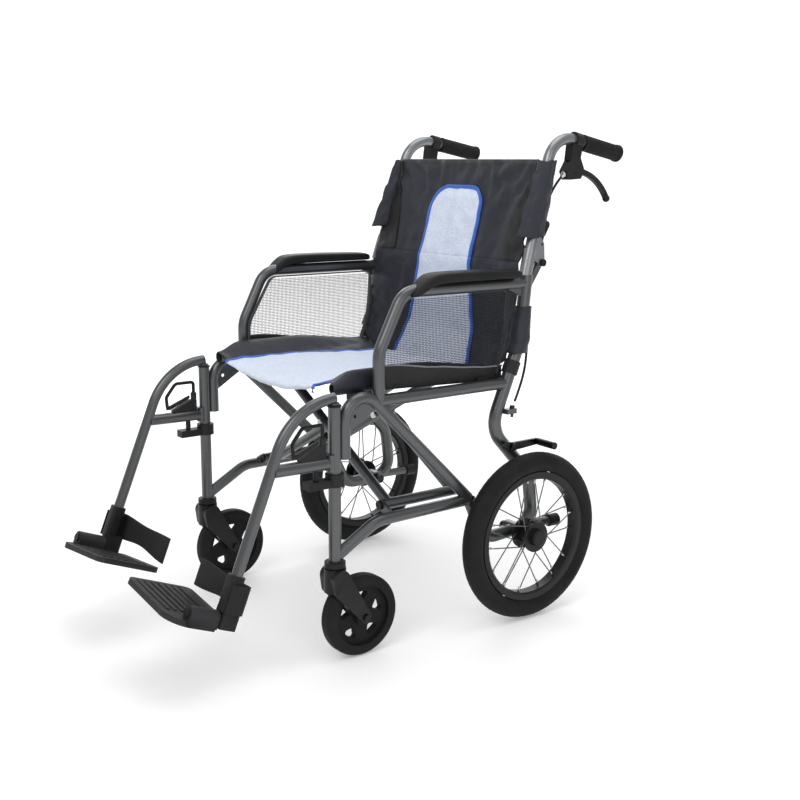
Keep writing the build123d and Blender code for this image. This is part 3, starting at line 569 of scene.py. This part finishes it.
def back_surface(x, z):
    """Front of the back sling: tight at the top, sagging back towards the seat, with creases."""
    edge = post_x(z) - 6
    across = min(1.0, abs(x) / edge)
    sag = mix(17.0, 3.0, smooth((z - 500) / 330)) * (1 - across ** 2)
    creases = wrinkle((x, 0, z * 0.35), 42, 5.0, 3.0) + wrinkle((x, 0, z), 24, 2.8, 9.0)
    creases += corner_folds(x, z) + top_gathers(x, z)
    near_post = smooth((across - 0.72) / 0.25)
    gathers = 2.0 * sin(z / 7.5 + 4 * noise.noise(Vector((x / 50, z / 60, 1)))) * near_post
    return sling_front(z) - 1.0 + sag + creases * (1 - across ** 6) + gathers


def back_panel(name, z_low, z_high):
    """One full-width sheet of the back between two heights."""
    def surface(u, v):
        z = mix(z_low, z_high, v)
        x = mix(-1, 1, u) * mix(BACK_FOOT_HALF, post_x(z) - 8, smooth((z - 488) / 24))
        return mm(x, back_surface(x, z), z)
    return cloth_sheet(name, surface, int((z_high - z_low) / 3.6), 120, "nylon", 1.6)


def strip_edge(z):
    """Where the black side strip of the back ends, at a height: it widens downwards."""
    return mix(172.0, 212.0, smooth((z - 700) / 200))


def side_strip(name, side):
    """Black strip sewn between the sling and a post, over the sling's edge."""
    def surface(u, v):
        z = mix(STRIP_FOOT_Z, STRIP_TOP_Z, v)
        x = mix(strip_edge(z), post_x(z) - 5, u)
        lifted = 2.4 + 2.0 * sin(pi * u) + wrinkle((x, 0, z * 0.4), 18, 1.6, 23.0)
        return mm(side * x, back_surface(side * x, z) - lifted * (1 - 0.6 * u), z)
    return cloth_sheet(name, surface, 60, 18, "skirt", 1.4)


def sleeve_point(side, z, angle, t):
    """A point of the loose pocket round an upper post: pulled forwards into the sling."""
    forward, backward = mix(40.0, 24.0, t), mix(25.0, 17.5, t)
    c = cos(angle)
    reach = backward if c > 0 else forward
    pinched = 1 - 0.5 * max(0.0, -c) ** 2
    crease = wrinkle((30 * cos(angle), 30 * sin(angle), z * 0.8), 15, 2.6, side * 5.0)
    half = POST_R + 2.6 + crease
    y = post_y(z) + (reach + crease) * c
    return mm(side * (post_x(z) + half * sin(angle) * pinched), y, z + 1.5 * crease)


def collar_point(side, z, angle, t):
    """A point of the short sleeve round a lower post, wider at its lower hem."""
    crease = wrinkle((30 * cos(angle), 30 * sin(angle), z), 17, 1.6, side * 5.0)
    r = POST_R + 2.4 + crease + 5.0 * (1 - t)
    return mm(side * FRAME_X + side * r * sin(angle), post_y(z) + r * cos(angle), z)


def sleeve(name, side, z_low, z_high, place):
    """Fabric wrapped round a back post, its points given by place(side, z, angle, t)."""
    rows = int((z_high - z_low) / 4)
    columns = 44
    points = []
    for i in range(rows):
        t = i / (rows - 1)
        for j in range(columns):
            points.append(place(side, mix(z_low, z_high, t), 2 * pi * j / columns, t))
    thing = piece(name, points, sheet_faces(rows, columns, around=True), "nylon")
    fix_normals(thing)
    solid = thing.modifiers.new("thickness", "SOLIDIFY")
    solid.thickness = 1.0 * MM
    solid.offset = 1.0
    return thing


def quilt_half(z):
    """Half-width of the pale centre panel at a height, round at the top."""
    half = mix(120.0, 78.0, smooth((z - 450) / 280))
    corner_z = PANEL_TOP_Z - PANEL_CORNER
    if z > corner_z:
        rise = (z - corner_z) / PANEL_CORNER
        half -= PANEL_CORNER * (1 - sqrt(max(0.0, 1 - rise * rise)))
    return half


def quilt_front(x, z):
    """Front of the padded centre panel, slightly crowned over the sling."""
    half = max(1.0, quilt_half(min(z, PANEL_TOP_Z - 0.1)))
    crown = (1 - min(1.0, abs(x) / half) ** 4) * smooth((PANEL_TOP_Z + 1 - z) / 22)
    ripple = wrinkle((x, 0, z * 0.3), 20, 1.8, 17.0) * crown
    return back_surface(x, z) - 2.2 - 5.5 * crown + ripple


def quilt_panel(name, z_low, z_high):
    """The pale centre panel between two heights."""
    def surface(u, v):
        z = mix(z_low, z_high, v)
        x = mix(-1, 1, u) * quilt_half(z)
        return mm(x, quilt_front(x, z), z)
    return cloth_sheet(name, surface, int((z_high - z_low) / 4), 40, "quilt", 2.0)


def panel_sides(z_low, z_high, steps=34):
    """The two side edges of the centre panel between two heights, as (x, z) runs."""
    heights = [mix(z_low, z_high, n / steps) for n in range(steps + 1)]
    return [[(side * quilt_half(z), z) for z in heights] for side in (-1, 1)]


def panel_arch(z_low, steps=34):
    """The centre panel's edge up one side, round the top and down the other, as one (x, z) run."""
    heights = [mix(z_low, PANEL_TOP_Z, sin(pi / 2 * n / steps)) for n in range(steps)]
    rising = [(-quilt_half(z), z) for z in heights]
    half = quilt_half(PANEL_TOP_Z - 0.1)
    rising.append((-half, PANEL_TOP_Z))
    top = [(mix(-half, half, n / 6), PANEL_TOP_Z) for n in range(1, 6)]
    falling = [(-x, z) for x, z in reversed(rising)]
    return [rising + top + falling]


def quilt_piping(name, runs):
    """Blue binding along edges of the centre panel."""
    things = []
    for n, run in enumerate(runs):
        path = [mm(x, back_surface(x, z) - 3.0, z) for x, z in run]
        things.append(swept(f"{name}_{n}", path, flat_oval(5.0, 2.3), "piping", up=(0, -1, 0)))
    return join(name, things)


def hem(name, z_at):
    """A stitched hem across the back at a height."""
    path = []
    for n in range(60):
        x = mix(-1, 1, n / 59) * (post_x(z_at) - 9)
        path.append(mm(x, back_surface(x, z_at) - 0.3, z_at))
    return swept(name, path, flat_oval(1.7, 5.0), "binding")


def sling_pieces(half, sling, quilt_heights, edges):
    """The sling, the pale panel and its piping of the lower or the upper half of the back."""
    return [sling, quilt_panel(f"quilt_{half}", *quilt_heights), quilt_piping(f"piping_{half}", edges)]


def fasten_back(things, body):
    """Hangs pieces of the back on a body, each with a mesh of its own."""
    for thing in things:
        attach(thing, body)
        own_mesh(thing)


def build_back():
    """Everything sewn to the back, split at the hinge so that the back can fold down."""
    panel_foot = BACK_FOOT_Z + 2
    lower = back_panel("back_sling_lower", BACK_FOOT_Z, BACK_LAP_Z)
    lower_pieces = sling_pieces(
        "lower", lower, (panel_foot, PANEL_SPLIT_Z), panel_sides(panel_foot, PANEL_SPLIT_Z)
    )
    upper = back_panel("back_sling_upper", BACK_SPLIT_Z, BACK_TOP_Z)
    upper_pieces = sling_pieces(
        "upper", upper, (PANEL_SPLIT_Z, PANEL_TOP_Z - 0.1), panel_arch(PANEL_SPLIT_Z)
    )
    upper_pieces.append(hem("back_top_hem", BACK_TOP_Z - 2))
    for side_name, side in SIDES.items():
        strip = side_strip(f"back_strip_{side_name}", side)
        upper_pieces.append(strip)
    for thing in lower_pieces:
        tuck_behind(thing, BACK_SPLIT_Z + 1)
    fasten_back(lower_pieces, "left_side")
    fasten_back(upper_pieces, "left_back")
    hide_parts("back_cover_lower")
    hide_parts("back_cover_upper")
    build_sleeves()


def build_sleeves():
    """The pockets that hold the sling on its posts, two on each side."""
    for side_name, side in SIDES.items():
        top = sleeve(f"{side_name}_back_sleeve_upper", side, 742, BACK_TOP_Z, sleeve_point)
        low = sleeve(f"{side_name}_back_sleeve_lower", side, 524, 612, collar_point)
        for thing, body in ((top, "back"), (low, "side")):
            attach(thing, f"{side_name}_{body}")


def tuck_behind(thing, z_from):
    """Moves the part of a piece above a height behind the piece that overlaps it."""
    for vertex in thing.data.vertices:
        z = vertex.co.z / MM
        if z > z_from:
            vertex.co.y += TUCK_DEPTH * MM * smooth((z - z_from) / 3)


# Seat ----------------------------------------------------------------------

def seat_depth(y):
    """0 at the seat's front edge, 1 at its back."""
    return (y - SEAT_FRONT) / (SEAT_BACK - SEAT_FRONT)


def rail_padding(y):
    """Height of the soft fold over a seat rail: full in the middle, none at its two ends."""
    return 18.0 * smooth((y - SEAT_FRONT) / 48) * (1 - smooth((y + 235) / 185))


def seat_top(x, y):
    """Top of the hanging sling between the rails, with creases towards its middle."""
    back = seat_depth(y)
    across = min(1.0, abs(x) / RAIL_X)
    sag = mix(31.0, 20.0, smooth(back * 2.2)) * (1 - across ** 2)
    creases = wrinkle((x, y * 0.3, 0), 40, 3.4, 31.0) + wrinkle((x, y, 0), 24, 2.0, 37.0)
    lift = rail_padding(y) * smooth((across - 0.72) / 0.24)
    return RAIL_Z + RAIL_R + 1.6 - sag + lift + creases * (1 - across ** 8)


def seat_sheet():
    """The sling: from under one rail, over it, across and round the other rail."""
    wrap = 200
    reach = RAIL_R + 1.4
    turn_steps = 12
    columns = turn_steps * 2 + 64
    rows = 74

    def surface(u, v):
        y = mix(SEAT_FRONT, SEAT_BACK, v)
        j = round(u * (columns - 1))
        if j < turn_steps or j >= columns - turn_steps:
            side = -1 if j < turn_steps else 1
            steps_round = turn_steps - j if side < 0 else j - (columns - turn_steps - 1)
            t = steps_round / turn_steps
            angle = radians(90 - wrap * t)
            padding = rail_padding(y) * max(0.0, sin(angle)) ** 1.3
            return mm(side * (RAIL_X + reach * cos(angle)), y, RAIL_Z + reach * sin(angle) + padding)
        x = mix(-RAIL_X, RAIL_X, (j - turn_steps) / (columns - 2 * turn_steps - 1))
        return mm(x, y, seat_top(x, y) - 0.2)
    return cloth_sheet("seat_sling", surface, rows, columns, "nylon", 1.6)


def seat_quilt_half(y):
    """Half-width of the seat's pale panel: it narrows towards the back."""
    return mix(160.0, 112.0, smooth(seat_depth(y)))


def seat_quilt_top(x, y):
    """Top of the seat's pale panel, crowned over the sling."""
    half = seat_quilt_half(y)
    crown = 1 - min(1.0, abs(x) / half) ** 4
    return seat_top(x, y) + 1.8 + 5.0 * crown + wrinkle((x, y, 0), 26, 1.6, 53.0) * crown


def seat_quilt():
    """The seat's pale padded panel."""
    def surface(u, v):
        y = mix(SEAT_FRONT - 2, SEAT_BACK - 1, v)
        x = mix(-1, 1, u) * seat_quilt_half(y)
        return mm(x, y, seat_quilt_top(x, y))
    return cloth_sheet("seat_quilt", surface, 84, 60, "quilt", 2.0)


def seat_front_roll():
    """The pale panel's front edge, rolled over the sling and hanging a little lower."""
    points = []
    columns = 60
    turns = 9
    for i in range(columns):
        u = mix(-1, 1, i / (columns - 1))
        x = u * seat_quilt_half(SEAT_FRONT)
        top = seat_quilt_top(x, SEAT_FRONT - 2)
        drop = 7 + 6 * (1 - u * u) + wrinkle((x, 0, 0), 30, 2.0, 61.0)
        for j in range(turns):
            t = j / (turns - 1)
            points.append(mm(x, SEAT_FRONT - 2 - 5.0 * sin(pi * min(1.0, t * 1.15)), top - drop * t))
    thing = piece("seat_front_roll", points, sheet_faces(columns, turns), "quilt")
    solid = thing.modifiers.new("thickness", "SOLIDIFY")
    solid.thickness = 1.6 * MM
    solid.offset = 0.0
    return thing


def seat_piping():
    """Blue binding along both sides of the pale panel, turned down over the seat's front edge."""
    things = []
    for side in (-1, 1):
        path = []
        for n in range(50):
            y = mix(SEAT_BACK, SEAT_FRONT - 4, n / 49)
            x = side * seat_quilt_half(y)
            path.append(mm(x, y, seat_top(x, y) + 2.6))
        x = side * seat_quilt_half(SEAT_FRONT)
        path += [mm(x, SEAT_FRONT - 8, seat_top(x, SEAT_FRONT) - drop) for drop in (3, 11)]
        things.append(swept(f"seat_piping_{side}", path, flat_oval(4.4, 2.0), "piping"))
    return join("seat_piping", things)


def build_seat():
    """The seat's pieces, which hang between the two rails of the brace."""
    sling = seat_sheet()
    padding = [seat_quilt(), seat_front_roll()]
    for thing in [sling, *padding, seat_piping()]:
        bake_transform(thing)
    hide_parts("seat")


# Side panels -----------------------------------------------------------------

PANEL_X = 228.0
NET_TOP = 642.0
NET_PITCH = 3.3
NET_STRAND_R = 0.5
WEAVE_DEPTH = 0.45
SKIRT_FRONT, SKIRT_BACK = -325.0, -30.0
# The skirt's top hem slopes down between these two (along the chair, height) points.
HEM_FRONT = (-310.0, 526.0)
HEM_BACK = (-80.0, 499.0)


def skirt_top(y):
    """Height of the solid skirt's top hem: it slopes down towards the back."""
    along = (y - HEM_FRONT[0]) / (HEM_BACK[0] - HEM_FRONT[0])
    return mix(HEM_FRONT[1], HEM_BACK[1], min(1.0, max(0.0, along)))


def skirt_meets(z):
    """Where along the chair a level line crosses the skirt's sloping hem."""
    return mix(HEM_FRONT[0], HEM_BACK[0], (z - HEM_FRONT[1]) / (HEM_BACK[1] - HEM_FRONT[1]))


def panel_front(z):
    """Front edge of the side panel at a height, following the armrest tube."""
    if z < 552:
        return -327.0
    return mix(-327.0, -273.0, (z - 552) / 94)


def panel_back(z):
    """Back edge of the side panel at a height, following the post."""
    if z < 560:
        return mix(-45.0, -23.0, (z - 484) / 76)
    return mix(-23.0, -17.0, (z - 560) / 86)


def strand(points, count=4):
    """Ring points of one strand of the net."""
    path = [mm(*point) for point in points]
    ring = []
    for i, here in enumerate(path):
        before = path[max(0, i - 1)]
        after = path[min(len(path) - 1, i + 1)]
        along = (after - before).normalized()
        side = along.cross(Vector((1, 0, 0))).normalized()
        for n in range(count):
            angle = 2 * pi * n / count
            out = side * cos(angle) + Vector((sin(angle), 0, 0))
            ring.append(here + out * (NET_STRAND_R * MM))
    return ring


def level_strand(side, z, row):
    """A strand along the chair, weaving in and out as it goes."""
    front = panel_front(z) + 3
    if z < HEM_FRONT[1]:
        front = max(front, skirt_meets(z) + 1)
    back = panel_back(z) - 3
    count = max(2, int((back - front) / NET_PITCH) + 2)
    weave = [PANEL_X + WEAVE_DEPTH * (-1) ** (n + row) for n in range(count)]
    return [(side * x, mix(front, back, n / (count - 1)), z) for n, x in enumerate(weave)]


def upright_strand(side, y, column):
    """A strand up the chair, as far as the panel's bound edge."""
    top = NET_TOP if y < -24 else 560.0
    while top > skirt_top(y) and panel_front(top) > y - 1:
        top -= 2
    low = skirt_top(y) - 2
    count = max(2, int((top - low) / NET_PITCH) + 2)
    weave = [PANEL_X - WEAVE_DEPTH * (-1) ** (n + column) for n in range(count)]
    return [(side * x, y, mix(low, top, n / (count - 1))) for n, x in enumerate(weave)]


def side_mesh(name, side):
    """Open net of fine strands, woven over and under, above the solid skirt."""
    rows = int((NET_TOP - 500) / NET_PITCH)
    columns = int(302 / NET_PITCH)
    lines = [level_strand(side, 500 + NET_PITCH * n, n) for n in range(rows)]
    lines += [upright_strand(side, -324 + NET_PITCH * n, n) for n in range(columns)]
    points = []
    faces = []
    for line in lines:
        start = len(points)
        points += strand(line)
        for face in sheet_faces(len(line), 4, around=True):
            faces.append(tuple(start + index for index in face))
    return piece(name, points, faces, "mesh")


def side_binding(name, side):
    """Wide bound edge round the net."""
    corners = [(-45, 485), (-23, 560), (-18, 645), (-273, 645), (-327, 552), (-327, 485)]
    path = rounded([mm(side * PANEL_X, y, z) for y, z in corners], 14)
    return swept(name, path, flat_oval(1.6, 6.0, 10), "binding", up=(side, 0, 0))


def hem_height(y):
    """Height of the skirt's hem with its soft wave."""
    return skirt_top(y) + wrinkle((y, 0, 0), 60, 2.0, 5.0)


def side_skirt(name, side):
    """Solid fabric guard under the net, with a soft wave along its top hem."""
    def surface(u, v):
        y = mix(SKIRT_FRONT, SKIRT_BACK, u)
        top = hem_height(y)
        z = mix(mix(482.0, 470.0, u), top, v)
        bulge = wrinkle((y, z, 0), 45, 2.6, 71.0 + side)
        return mm(side * (PANEL_X - 0.6 + bulge * 0.5), y, z)
    return cloth_sheet(name, surface, 14, 60, "skirt", 1.4)


def skirt_hem(name, side):
    """The line of thread along the skirt's top hem."""
    path = []
    for n in range(50):
        y = mix(SKIRT_FRONT, SKIRT_BACK, n / 49)
        path.append(mm(side * (PANEL_X + 0.4), y, hem_height(y)))
    return swept(name, path, flat_oval(1.2, 1.6, 8), "thread", up=(0, 0, 1))


def build_side_panels():
    """Net, binding and skirt of both sides."""
    for side_name, side in SIDES.items():
        body = f"{side_name}_side"
        skirt = side_skirt(f"{side_name}_side_skirt", side)
        net = side_mesh(f"{side_name}_side_net", side)
        edge = side_binding(f"{side_name}_side_binding", side)
        top = skirt_hem(f"{side_name}_skirt_hem", side)
        for thing in (skirt, net, edge, top):
            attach(thing, body)
        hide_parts(f"{side_name}_side_panel")


# Armrest pads ---------------------------------------------------------------------------

PAD_X = 248.5
PAD_COLUMNS = 40
PAD_SQUARENESS = 4.4
PAD_STATIONS = [
    # y, top, bottom, half-width
    (-271, 651.5, 648, 8), (-267, 656, 647.5, 14), (-254, 667.5, 651, 19), (-240, 679, 660, 21.5),
    (-228, 686.5, 666, 22.6), (-208, 688.4, 669, 23), (-150, 688.8, 669.3, 23), (-60, 686.6, 669.3, 23),
    (-30, 685.5, 669.3, 22.6), (-20, 683, 669.6, 21.5), (-16.4, 678, 671.5, 19),
]


def pad_ring(y, top, bottom, half, side):
    """A crowned cross-section of the pad: round top edges and a nearly flat underside."""
    points = []
    middle = mix(bottom, top, 0.42)
    power = 2 / PAD_SQUARENESS
    for n in range(PAD_COLUMNS):
        angle = 2 * pi * n / PAD_COLUMNS
        c, s = cos(angle), sin(angle)
        x = half * abs(c) ** power * (1 if c > 0 else -1)
        rise = (top - middle) if s > 0 else (middle - bottom)
        z = middle + rise * abs(s) ** (power if s > 0 else power * 0.6) * (1 if s > 0 else -1)
        points.append(mm(side * (PAD_X + x), y, z))
    return points


def armrest_pad(name, side):
    """Moulded armrest pad with a sloping nose, lofted through its stations."""
    rings = []
    for station in PAD_STATIONS:
        rings += pad_ring(*station, side)
    rows = len(PAD_STATIONS)
    faces = sheet_faces(rows, PAD_COLUMNS, around=True)
    faces.append(tuple(range(PAD_COLUMNS))[::-1])
    faces.append(tuple(range((rows - 1) * PAD_COLUMNS, rows * PAD_COLUMNS)))
    thing = piece(name, rings, faces, "foam")
    fix_normals(thing)
    smooth_more = thing.modifiers.new("smooth", "SUBSURF")
    smooth_more.levels = smooth_more.render_levels = 2
    return thing


def build_armrests():
    """One pad on each armrest tube."""
    for side_name, side in SIDES.items():
        pad = armrest_pad(f"{side_name}_armrest_cushion", side)
        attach(pad, f"{side_name}_side")
        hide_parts(f"{side_name}_armrest_pad")


# Leg rests ------------------------------------------------------------------

FOOT_TILT = radians(22)
FOOT = (-652.0, 132.0)


def in_foot(x, y, z):
    """A point from the foot's own frame, whose Z runs up the leg rest tube."""
    forward = y * cos(FOOT_TILT) + z * sin(FOOT_TILT)
    upward = z * cos(FOOT_TILT) - y * sin(FOOT_TILT)
    return mm(x, FOOT[0] + forward, FOOT[1] + upward)


def heel_strap(name, side):
    """Webbing round the clamp and across behind the heel, slack in the middle."""
    corners = [(FRAME_X + 17, -12), (FRAME_X + 17, 28), (66, 34)]
    plan = rounded([Vector((x * MM, y * MM, 0)) for x, y in corners], 14, 8)
    line = []
    for a, b in zip(plan, plan[1:]):
        steps = max(1, int((b - a).length / (8 * MM)))
        line += [a.lerp(b, n / steps) for n in range(steps)]
    line.append(plan[-1])
    total = len(line)

    def surface(u, v):
        i = min(total - 1, round(u * (total - 1)))
        point = line[i]
        across = smooth((262 - point.x / MM) / 190)
        slack = 7 * sin(pi * min(1.0, max(0.0, (245 - point.x / MM) / 180)))
        low = 13 + 8 * sin(pi * across) * (1 - across * 0.3)
        z = mix(low, 63 - 3 * sin(pi * across), v)
        cupped = 1.2 * cos(pi * v) * sin(pi * across)
        return in_foot(side * point.x / MM, point.y / MM + slack * 0.35 + cupped, z)
    return cloth_sheet(name, surface, 14, total, "strap", 2.2)


def build_leg_rests():
    """Heel straps, which hang between the leg rest and the footplate."""
    for side_name, side in SIDES.items():
        strap = heel_strap(f"{side_name}_heel_webbing", side)
        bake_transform(strap)
        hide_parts(f"{side_name}_heel_strap")


# Wheels ---------------------------------------------------------------------

TYRE_TUBE_R = 20.2
TYRE_SEAT_R = 129.0
TYRE_REACH = 142.0
TREAD_HALF = radians(58)
TREAD_BLOCKS = 288


def tread_groove(angle, block):
    """Depth of the tread's grooves at an angle round the tube: rings, and cuts between blocks."""
    if abs(angle) >= TREAD_HALF:
        return 0.0
    if abs(sin(angle / TREAD_HALF * pi * 2.5)) < 0.28:
        return 0.9
    return 0.55 if (block + int(angle * 8)) % 4 == 0 else 0.0


def tyre(name, side):
    """Tyre with a ribbed tread: shallow grooves round it, cut across in short blocks."""
    ring_r = WHEEL_R / MM - TYRE_TUBE_R - 0.3
    steps = 34
    section = [radians(mix(-TYRE_REACH, TYRE_REACH, n / steps)) for n in range(steps + 1)]
    points = []
    for block in range(TREAD_BLOCKS):
        turn = 2 * pi * block / TREAD_BLOCKS
        for angle in section:
            groove = tread_groove(angle, block)
            x = side * WHEEL_X / MM + TYRE_TUBE_R * sin(angle) * (1 - groove * 0.02)
            r = max(ring_r + (TYRE_TUBE_R - groove) * cos(angle), TYRE_SEAT_R + 0.4)
            points.append(mm(x, r * cos(turn), WHEEL_R / MM + r * sin(turn)))
    thing = piece(name, points, sheet_faces(TREAD_BLOCKS, len(section), wrap_rows=True), "tyre")
    fix_normals(thing)
    return thing


SPOKES_A_SIDE = 10
SPOKE_STEP = 36.0
SPOKE_LEAN = 42.0
NIPPLE_FOOT_R = 104.0


def spoke_nipples(name, side):
    """Small nipples where the spokes enter the rim."""
    things = []
    outline = [(0, 1.3), (0.4, 2.0), (9.4, 2.2), (9.8, 1.4)]
    for flange in (-1, 1):
        for n in range(SPOKES_A_SIDE):
            lean = SPOKE_LEAN if n % 2 else -SPOKE_LEAN
            turn = radians((n + 0.25 * flange) * SPOKE_STEP + lean)
            out = Vector((0, cos(turn), sin(turn)))
            x = side * (WHEEL_X / MM + flange * 4)
            foot = mm(x, NIPPLE_FOOT_R * cos(turn), WHEEL_R / MM + NIPPLE_FOOT_R * sin(turn))
            things.append(lathe(f"{name}_{flange}_{n}", foot, out, outline, "steel", 8))
    return join(name, things)


def build_wheels():
    """Treaded tyres and spoke nipples."""
    for side_name, side in SIDES.items():
        body = f"{side_name}_rear_wheel"
        tread = tyre(f"{side_name}_treaded_tyre", side)
        nipples = spoke_nipples(f"{side_name}_spoke_nipples", side)
        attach(tread, body)
        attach(nipples, body)
        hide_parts(f"{side_name}_rear_tyre")


# Handles and brakes -----------------------------------------------------------

HANDLE_BEND = (224.0, 92.0, 937.0)
HANDLE_END = (220.0, 270.0, 903.0)
GRIP_LENGTH = 100.0
GRIP_RIBS = 15
RIB_PITCH = 6.0


def grip(name, side):
    """Ribbed hand grip with a flange at its front and a domed end."""
    start = mm(side * HANDLE_BEND[0], *HANDLE_BEND[1:])
    end = mm(side * HANDLE_END[0], *HANDLE_END[1:])
    along = (end - start).normalized()
    foot = end - along * (GRIP_LENGTH * MM)
    outline = [(0, TUBE_R), (0, 15.6), (1.2, 16.2), (4.5, 16.2), (5.6, 15.2)]
    for n in range(GRIP_RIBS):
        at = 8 + RIB_PITCH * n
        outline += [(at, 14.8), (at + 1.1, 15.8), (at + 3.6, 15.8), (at + 4.7, 14.8)]
    outline += [(100.4, 15.2), (101, 17.2), (105.4, 17.3), (106.8, 15.6), (108, 9.0), (108.2, 0.05)]
    return lathe(name, foot, along, outline, "grip", 40)


# The brake's outer cable, from the lever's housing down to the barrel adjuster.
CABLE_ROUTE = [
    (226, 121, 861), (226, 100, 843), (226, 78, 806), (226, 63, 762), (225.5, 47, 706),
    (227.5, 34, 640), (238, 26, 570), (250, 14, 505), (256, -4, 462), (257, -20, 431),
]
CABLE_R = 2.5


def brake_cable(name, side):
    """The brake's outer cable on its smooth route."""
    curve = bpy.data.curves.new(name, "CURVE")
    curve.dimensions = "3D"
    spline = curve.splines.new("NURBS")
    spline.points.add(len(CABLE_ROUTE) - 1)
    for point, (x, y, z) in zip(spline.points, CABLE_ROUTE):
        point.co = (*mm(side * x, y, z), 1)
    spline.order_u = 3
    spline.use_endpoint_u = True
    spline.resolution_u = 12
    thing = bpy.data.objects.new(name, curve)
    bpy.context.scene.collection.objects.link(thing)
    centre = bpy.data.meshes.new_from_object(thing)
    path = [vertex.co.copy() for vertex in centre.vertices]
    bpy.data.objects.remove(thing)
    return swept(name, path, circle(CABLE_R), "sheath"), path


def cable_adjuster(name, side):
    """The knurled adjuster where the cable enters the lever's housing."""
    start = mm(side * CABLE_ROUTE[0][0], *CABLE_ROUTE[0][1:])
    along = mm(side * CABLE_ROUTE[1][0], *CABLE_ROUTE[1][1:]) - start
    outline = [(-3, 5.4), (2, 5.4), (2.4, 4.4), (5, 4.4), (5.4, 3.6), (8, 3.4), (8.4, 2.6)]
    return lathe(name, start, along, outline, "steel", 20, lambda d, r, a: r + 0.25 * sin(12 * a))


def build_handles():
    """Grips, cable adjusters and brake cables."""
    for side_name, side in SIDES.items():
        adjuster = cable_adjuster(f"{side_name}_cable_adjuster", side)
        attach(adjuster, f"{side_name}_back")
        hand = grip(f"{side_name}_ribbed_grip", side)
        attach(hand, f"{side_name}_back")
        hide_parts(f"{side_name}_grip")
        cable, path = brake_cable(f"{side_name}_brake_sheath", side)
        length = sum((b - a).length for a, b in zip(path, path[1:]))
        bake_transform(cable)
        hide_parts(f"{side_name}_brake_cable")
        tuple(path[0])
        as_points(path)


# Stage ---------------------------------------------------------------------------

# The backdrop's reach and turn, and its two parts as (distance behind the object, height) points,
# all in metres. The wall glows more, because less light falls on it.
STAGE_REACH = 9.0
STAGE_TURN = radians(53)
STAGE_FLOOR = [(-STAGE_REACH, 0.0), (1.6, 0.0)]
STAGE_WALL = [(1.6, 0.0), (3.0, 0.0), (4.2, 0.25), (5.0, 1.0), (5.3, 2.5), (5.3, 6.0)]
FLOOR_GLOW = 0.22
WALL_GLOW = 0.5
# name: place and size in metres, and power in watts
LIGHTS = {
    "key": ((1.2, -2.6, 3.2), 2.2, 46),
    "fill": ((3.4, -0.6, 1.6), 2.4, 19),
    "top": ((0.2, 0.6, 3.6), 2.6, 40),
    "rim": ((-2.8, 1.8, 2.2), 2.0, 24),
}
LIT_POINT = (0, 0, 0.45)
SKY_STRENGTH = 0.52
CAMERA_PLACE = (1856.9, -1498.8, 877.9)
CAMERA_RIGHT = (0.59950, 0.80034, 0.00717)
CAMERA_UP = (-0.16552, 0.11520, 0.97945)
CAMERA_LENS = 51.6
CAMERA_SENSOR = 36


def light(name, place, size, power, aim):
    """A soft square light that faces a point."""
    data = bpy.data.lights.new(name, "AREA")
    data.size = size
    data.energy = power
    thing = bpy.data.objects.new(name, data)
    thing.location = place
    thing.rotation_euler = (Vector(aim) - Vector(place)).to_track_quat("-Z", "Y").to_euler()
    bpy.context.scene.collection.objects.link(thing)


def stage_sheet(name, profile, glow):
    """Part of the backdrop: a wide sheet along (distance behind the object, height) points in metres."""
    points = []
    for along, up in profile:
        for side in (-STAGE_REACH, STAGE_REACH):
            back = Vector((-sin(STAGE_TURN), cos(STAGE_TURN), 0)) * along
            across = Vector((cos(STAGE_TURN), sin(STAGE_TURN), 0)) * side
            points.append(back + across + Vector((0, 0, up - 0.0005)))
    sheet = piece(name, points, sheet_faces(len(profile), 2), "frame")
    sheet.data.materials[0] = backdrop(name, glow)


def build_stage():
    """A pale floor that curves up into a backdrop, and soft lights."""
    stage_sheet("studio_floor", STAGE_FLOOR, FLOOR_GLOW)
    stage_sheet("studio_wall", STAGE_WALL, WALL_GLOW)
    for name, (place, size, power) in LIGHTS.items():
        light(name, place, size, power, LIT_POINT)
    world = bpy.data.worlds.new("studio")
    world.use_nodes = True
    sky = world.node_tree.nodes["Background"]
    sky.inputs["Color"].default_value = (1, 1, 1, 1)
    sky.inputs["Strength"].default_value = SKY_STRENGTH
    bpy.context.scene.world = world
    bpy.context.scene.view_settings.view_transform = "Standard"


def build_camera():
    """The camera where the photographer's was, found from the wheels and the two side frames."""
    data = bpy.data.cameras.new("camera")
    data.lens = CAMERA_LENS
    data.sensor_width = CAMERA_SENSOR
    camera = bpy.data.objects.new("camera", data)
    right = Vector(CAMERA_RIGHT)
    up = Vector(CAMERA_UP)
    back = right.cross(up)
    turn = Matrix((right, up, back)).transposed().to_4x4()
    camera.matrix_world = Matrix.Translation(mm(*CAMERA_PLACE)) @ turn
    bpy.context.scene.collection.objects.link(camera)
    bpy.context.scene.camera = camera


build_camera()
build_stage()
paint_cad()
build_handles()
build_back()
build_seat()
build_side_panels()
build_armrests()
build_leg_rests()
build_wheels()
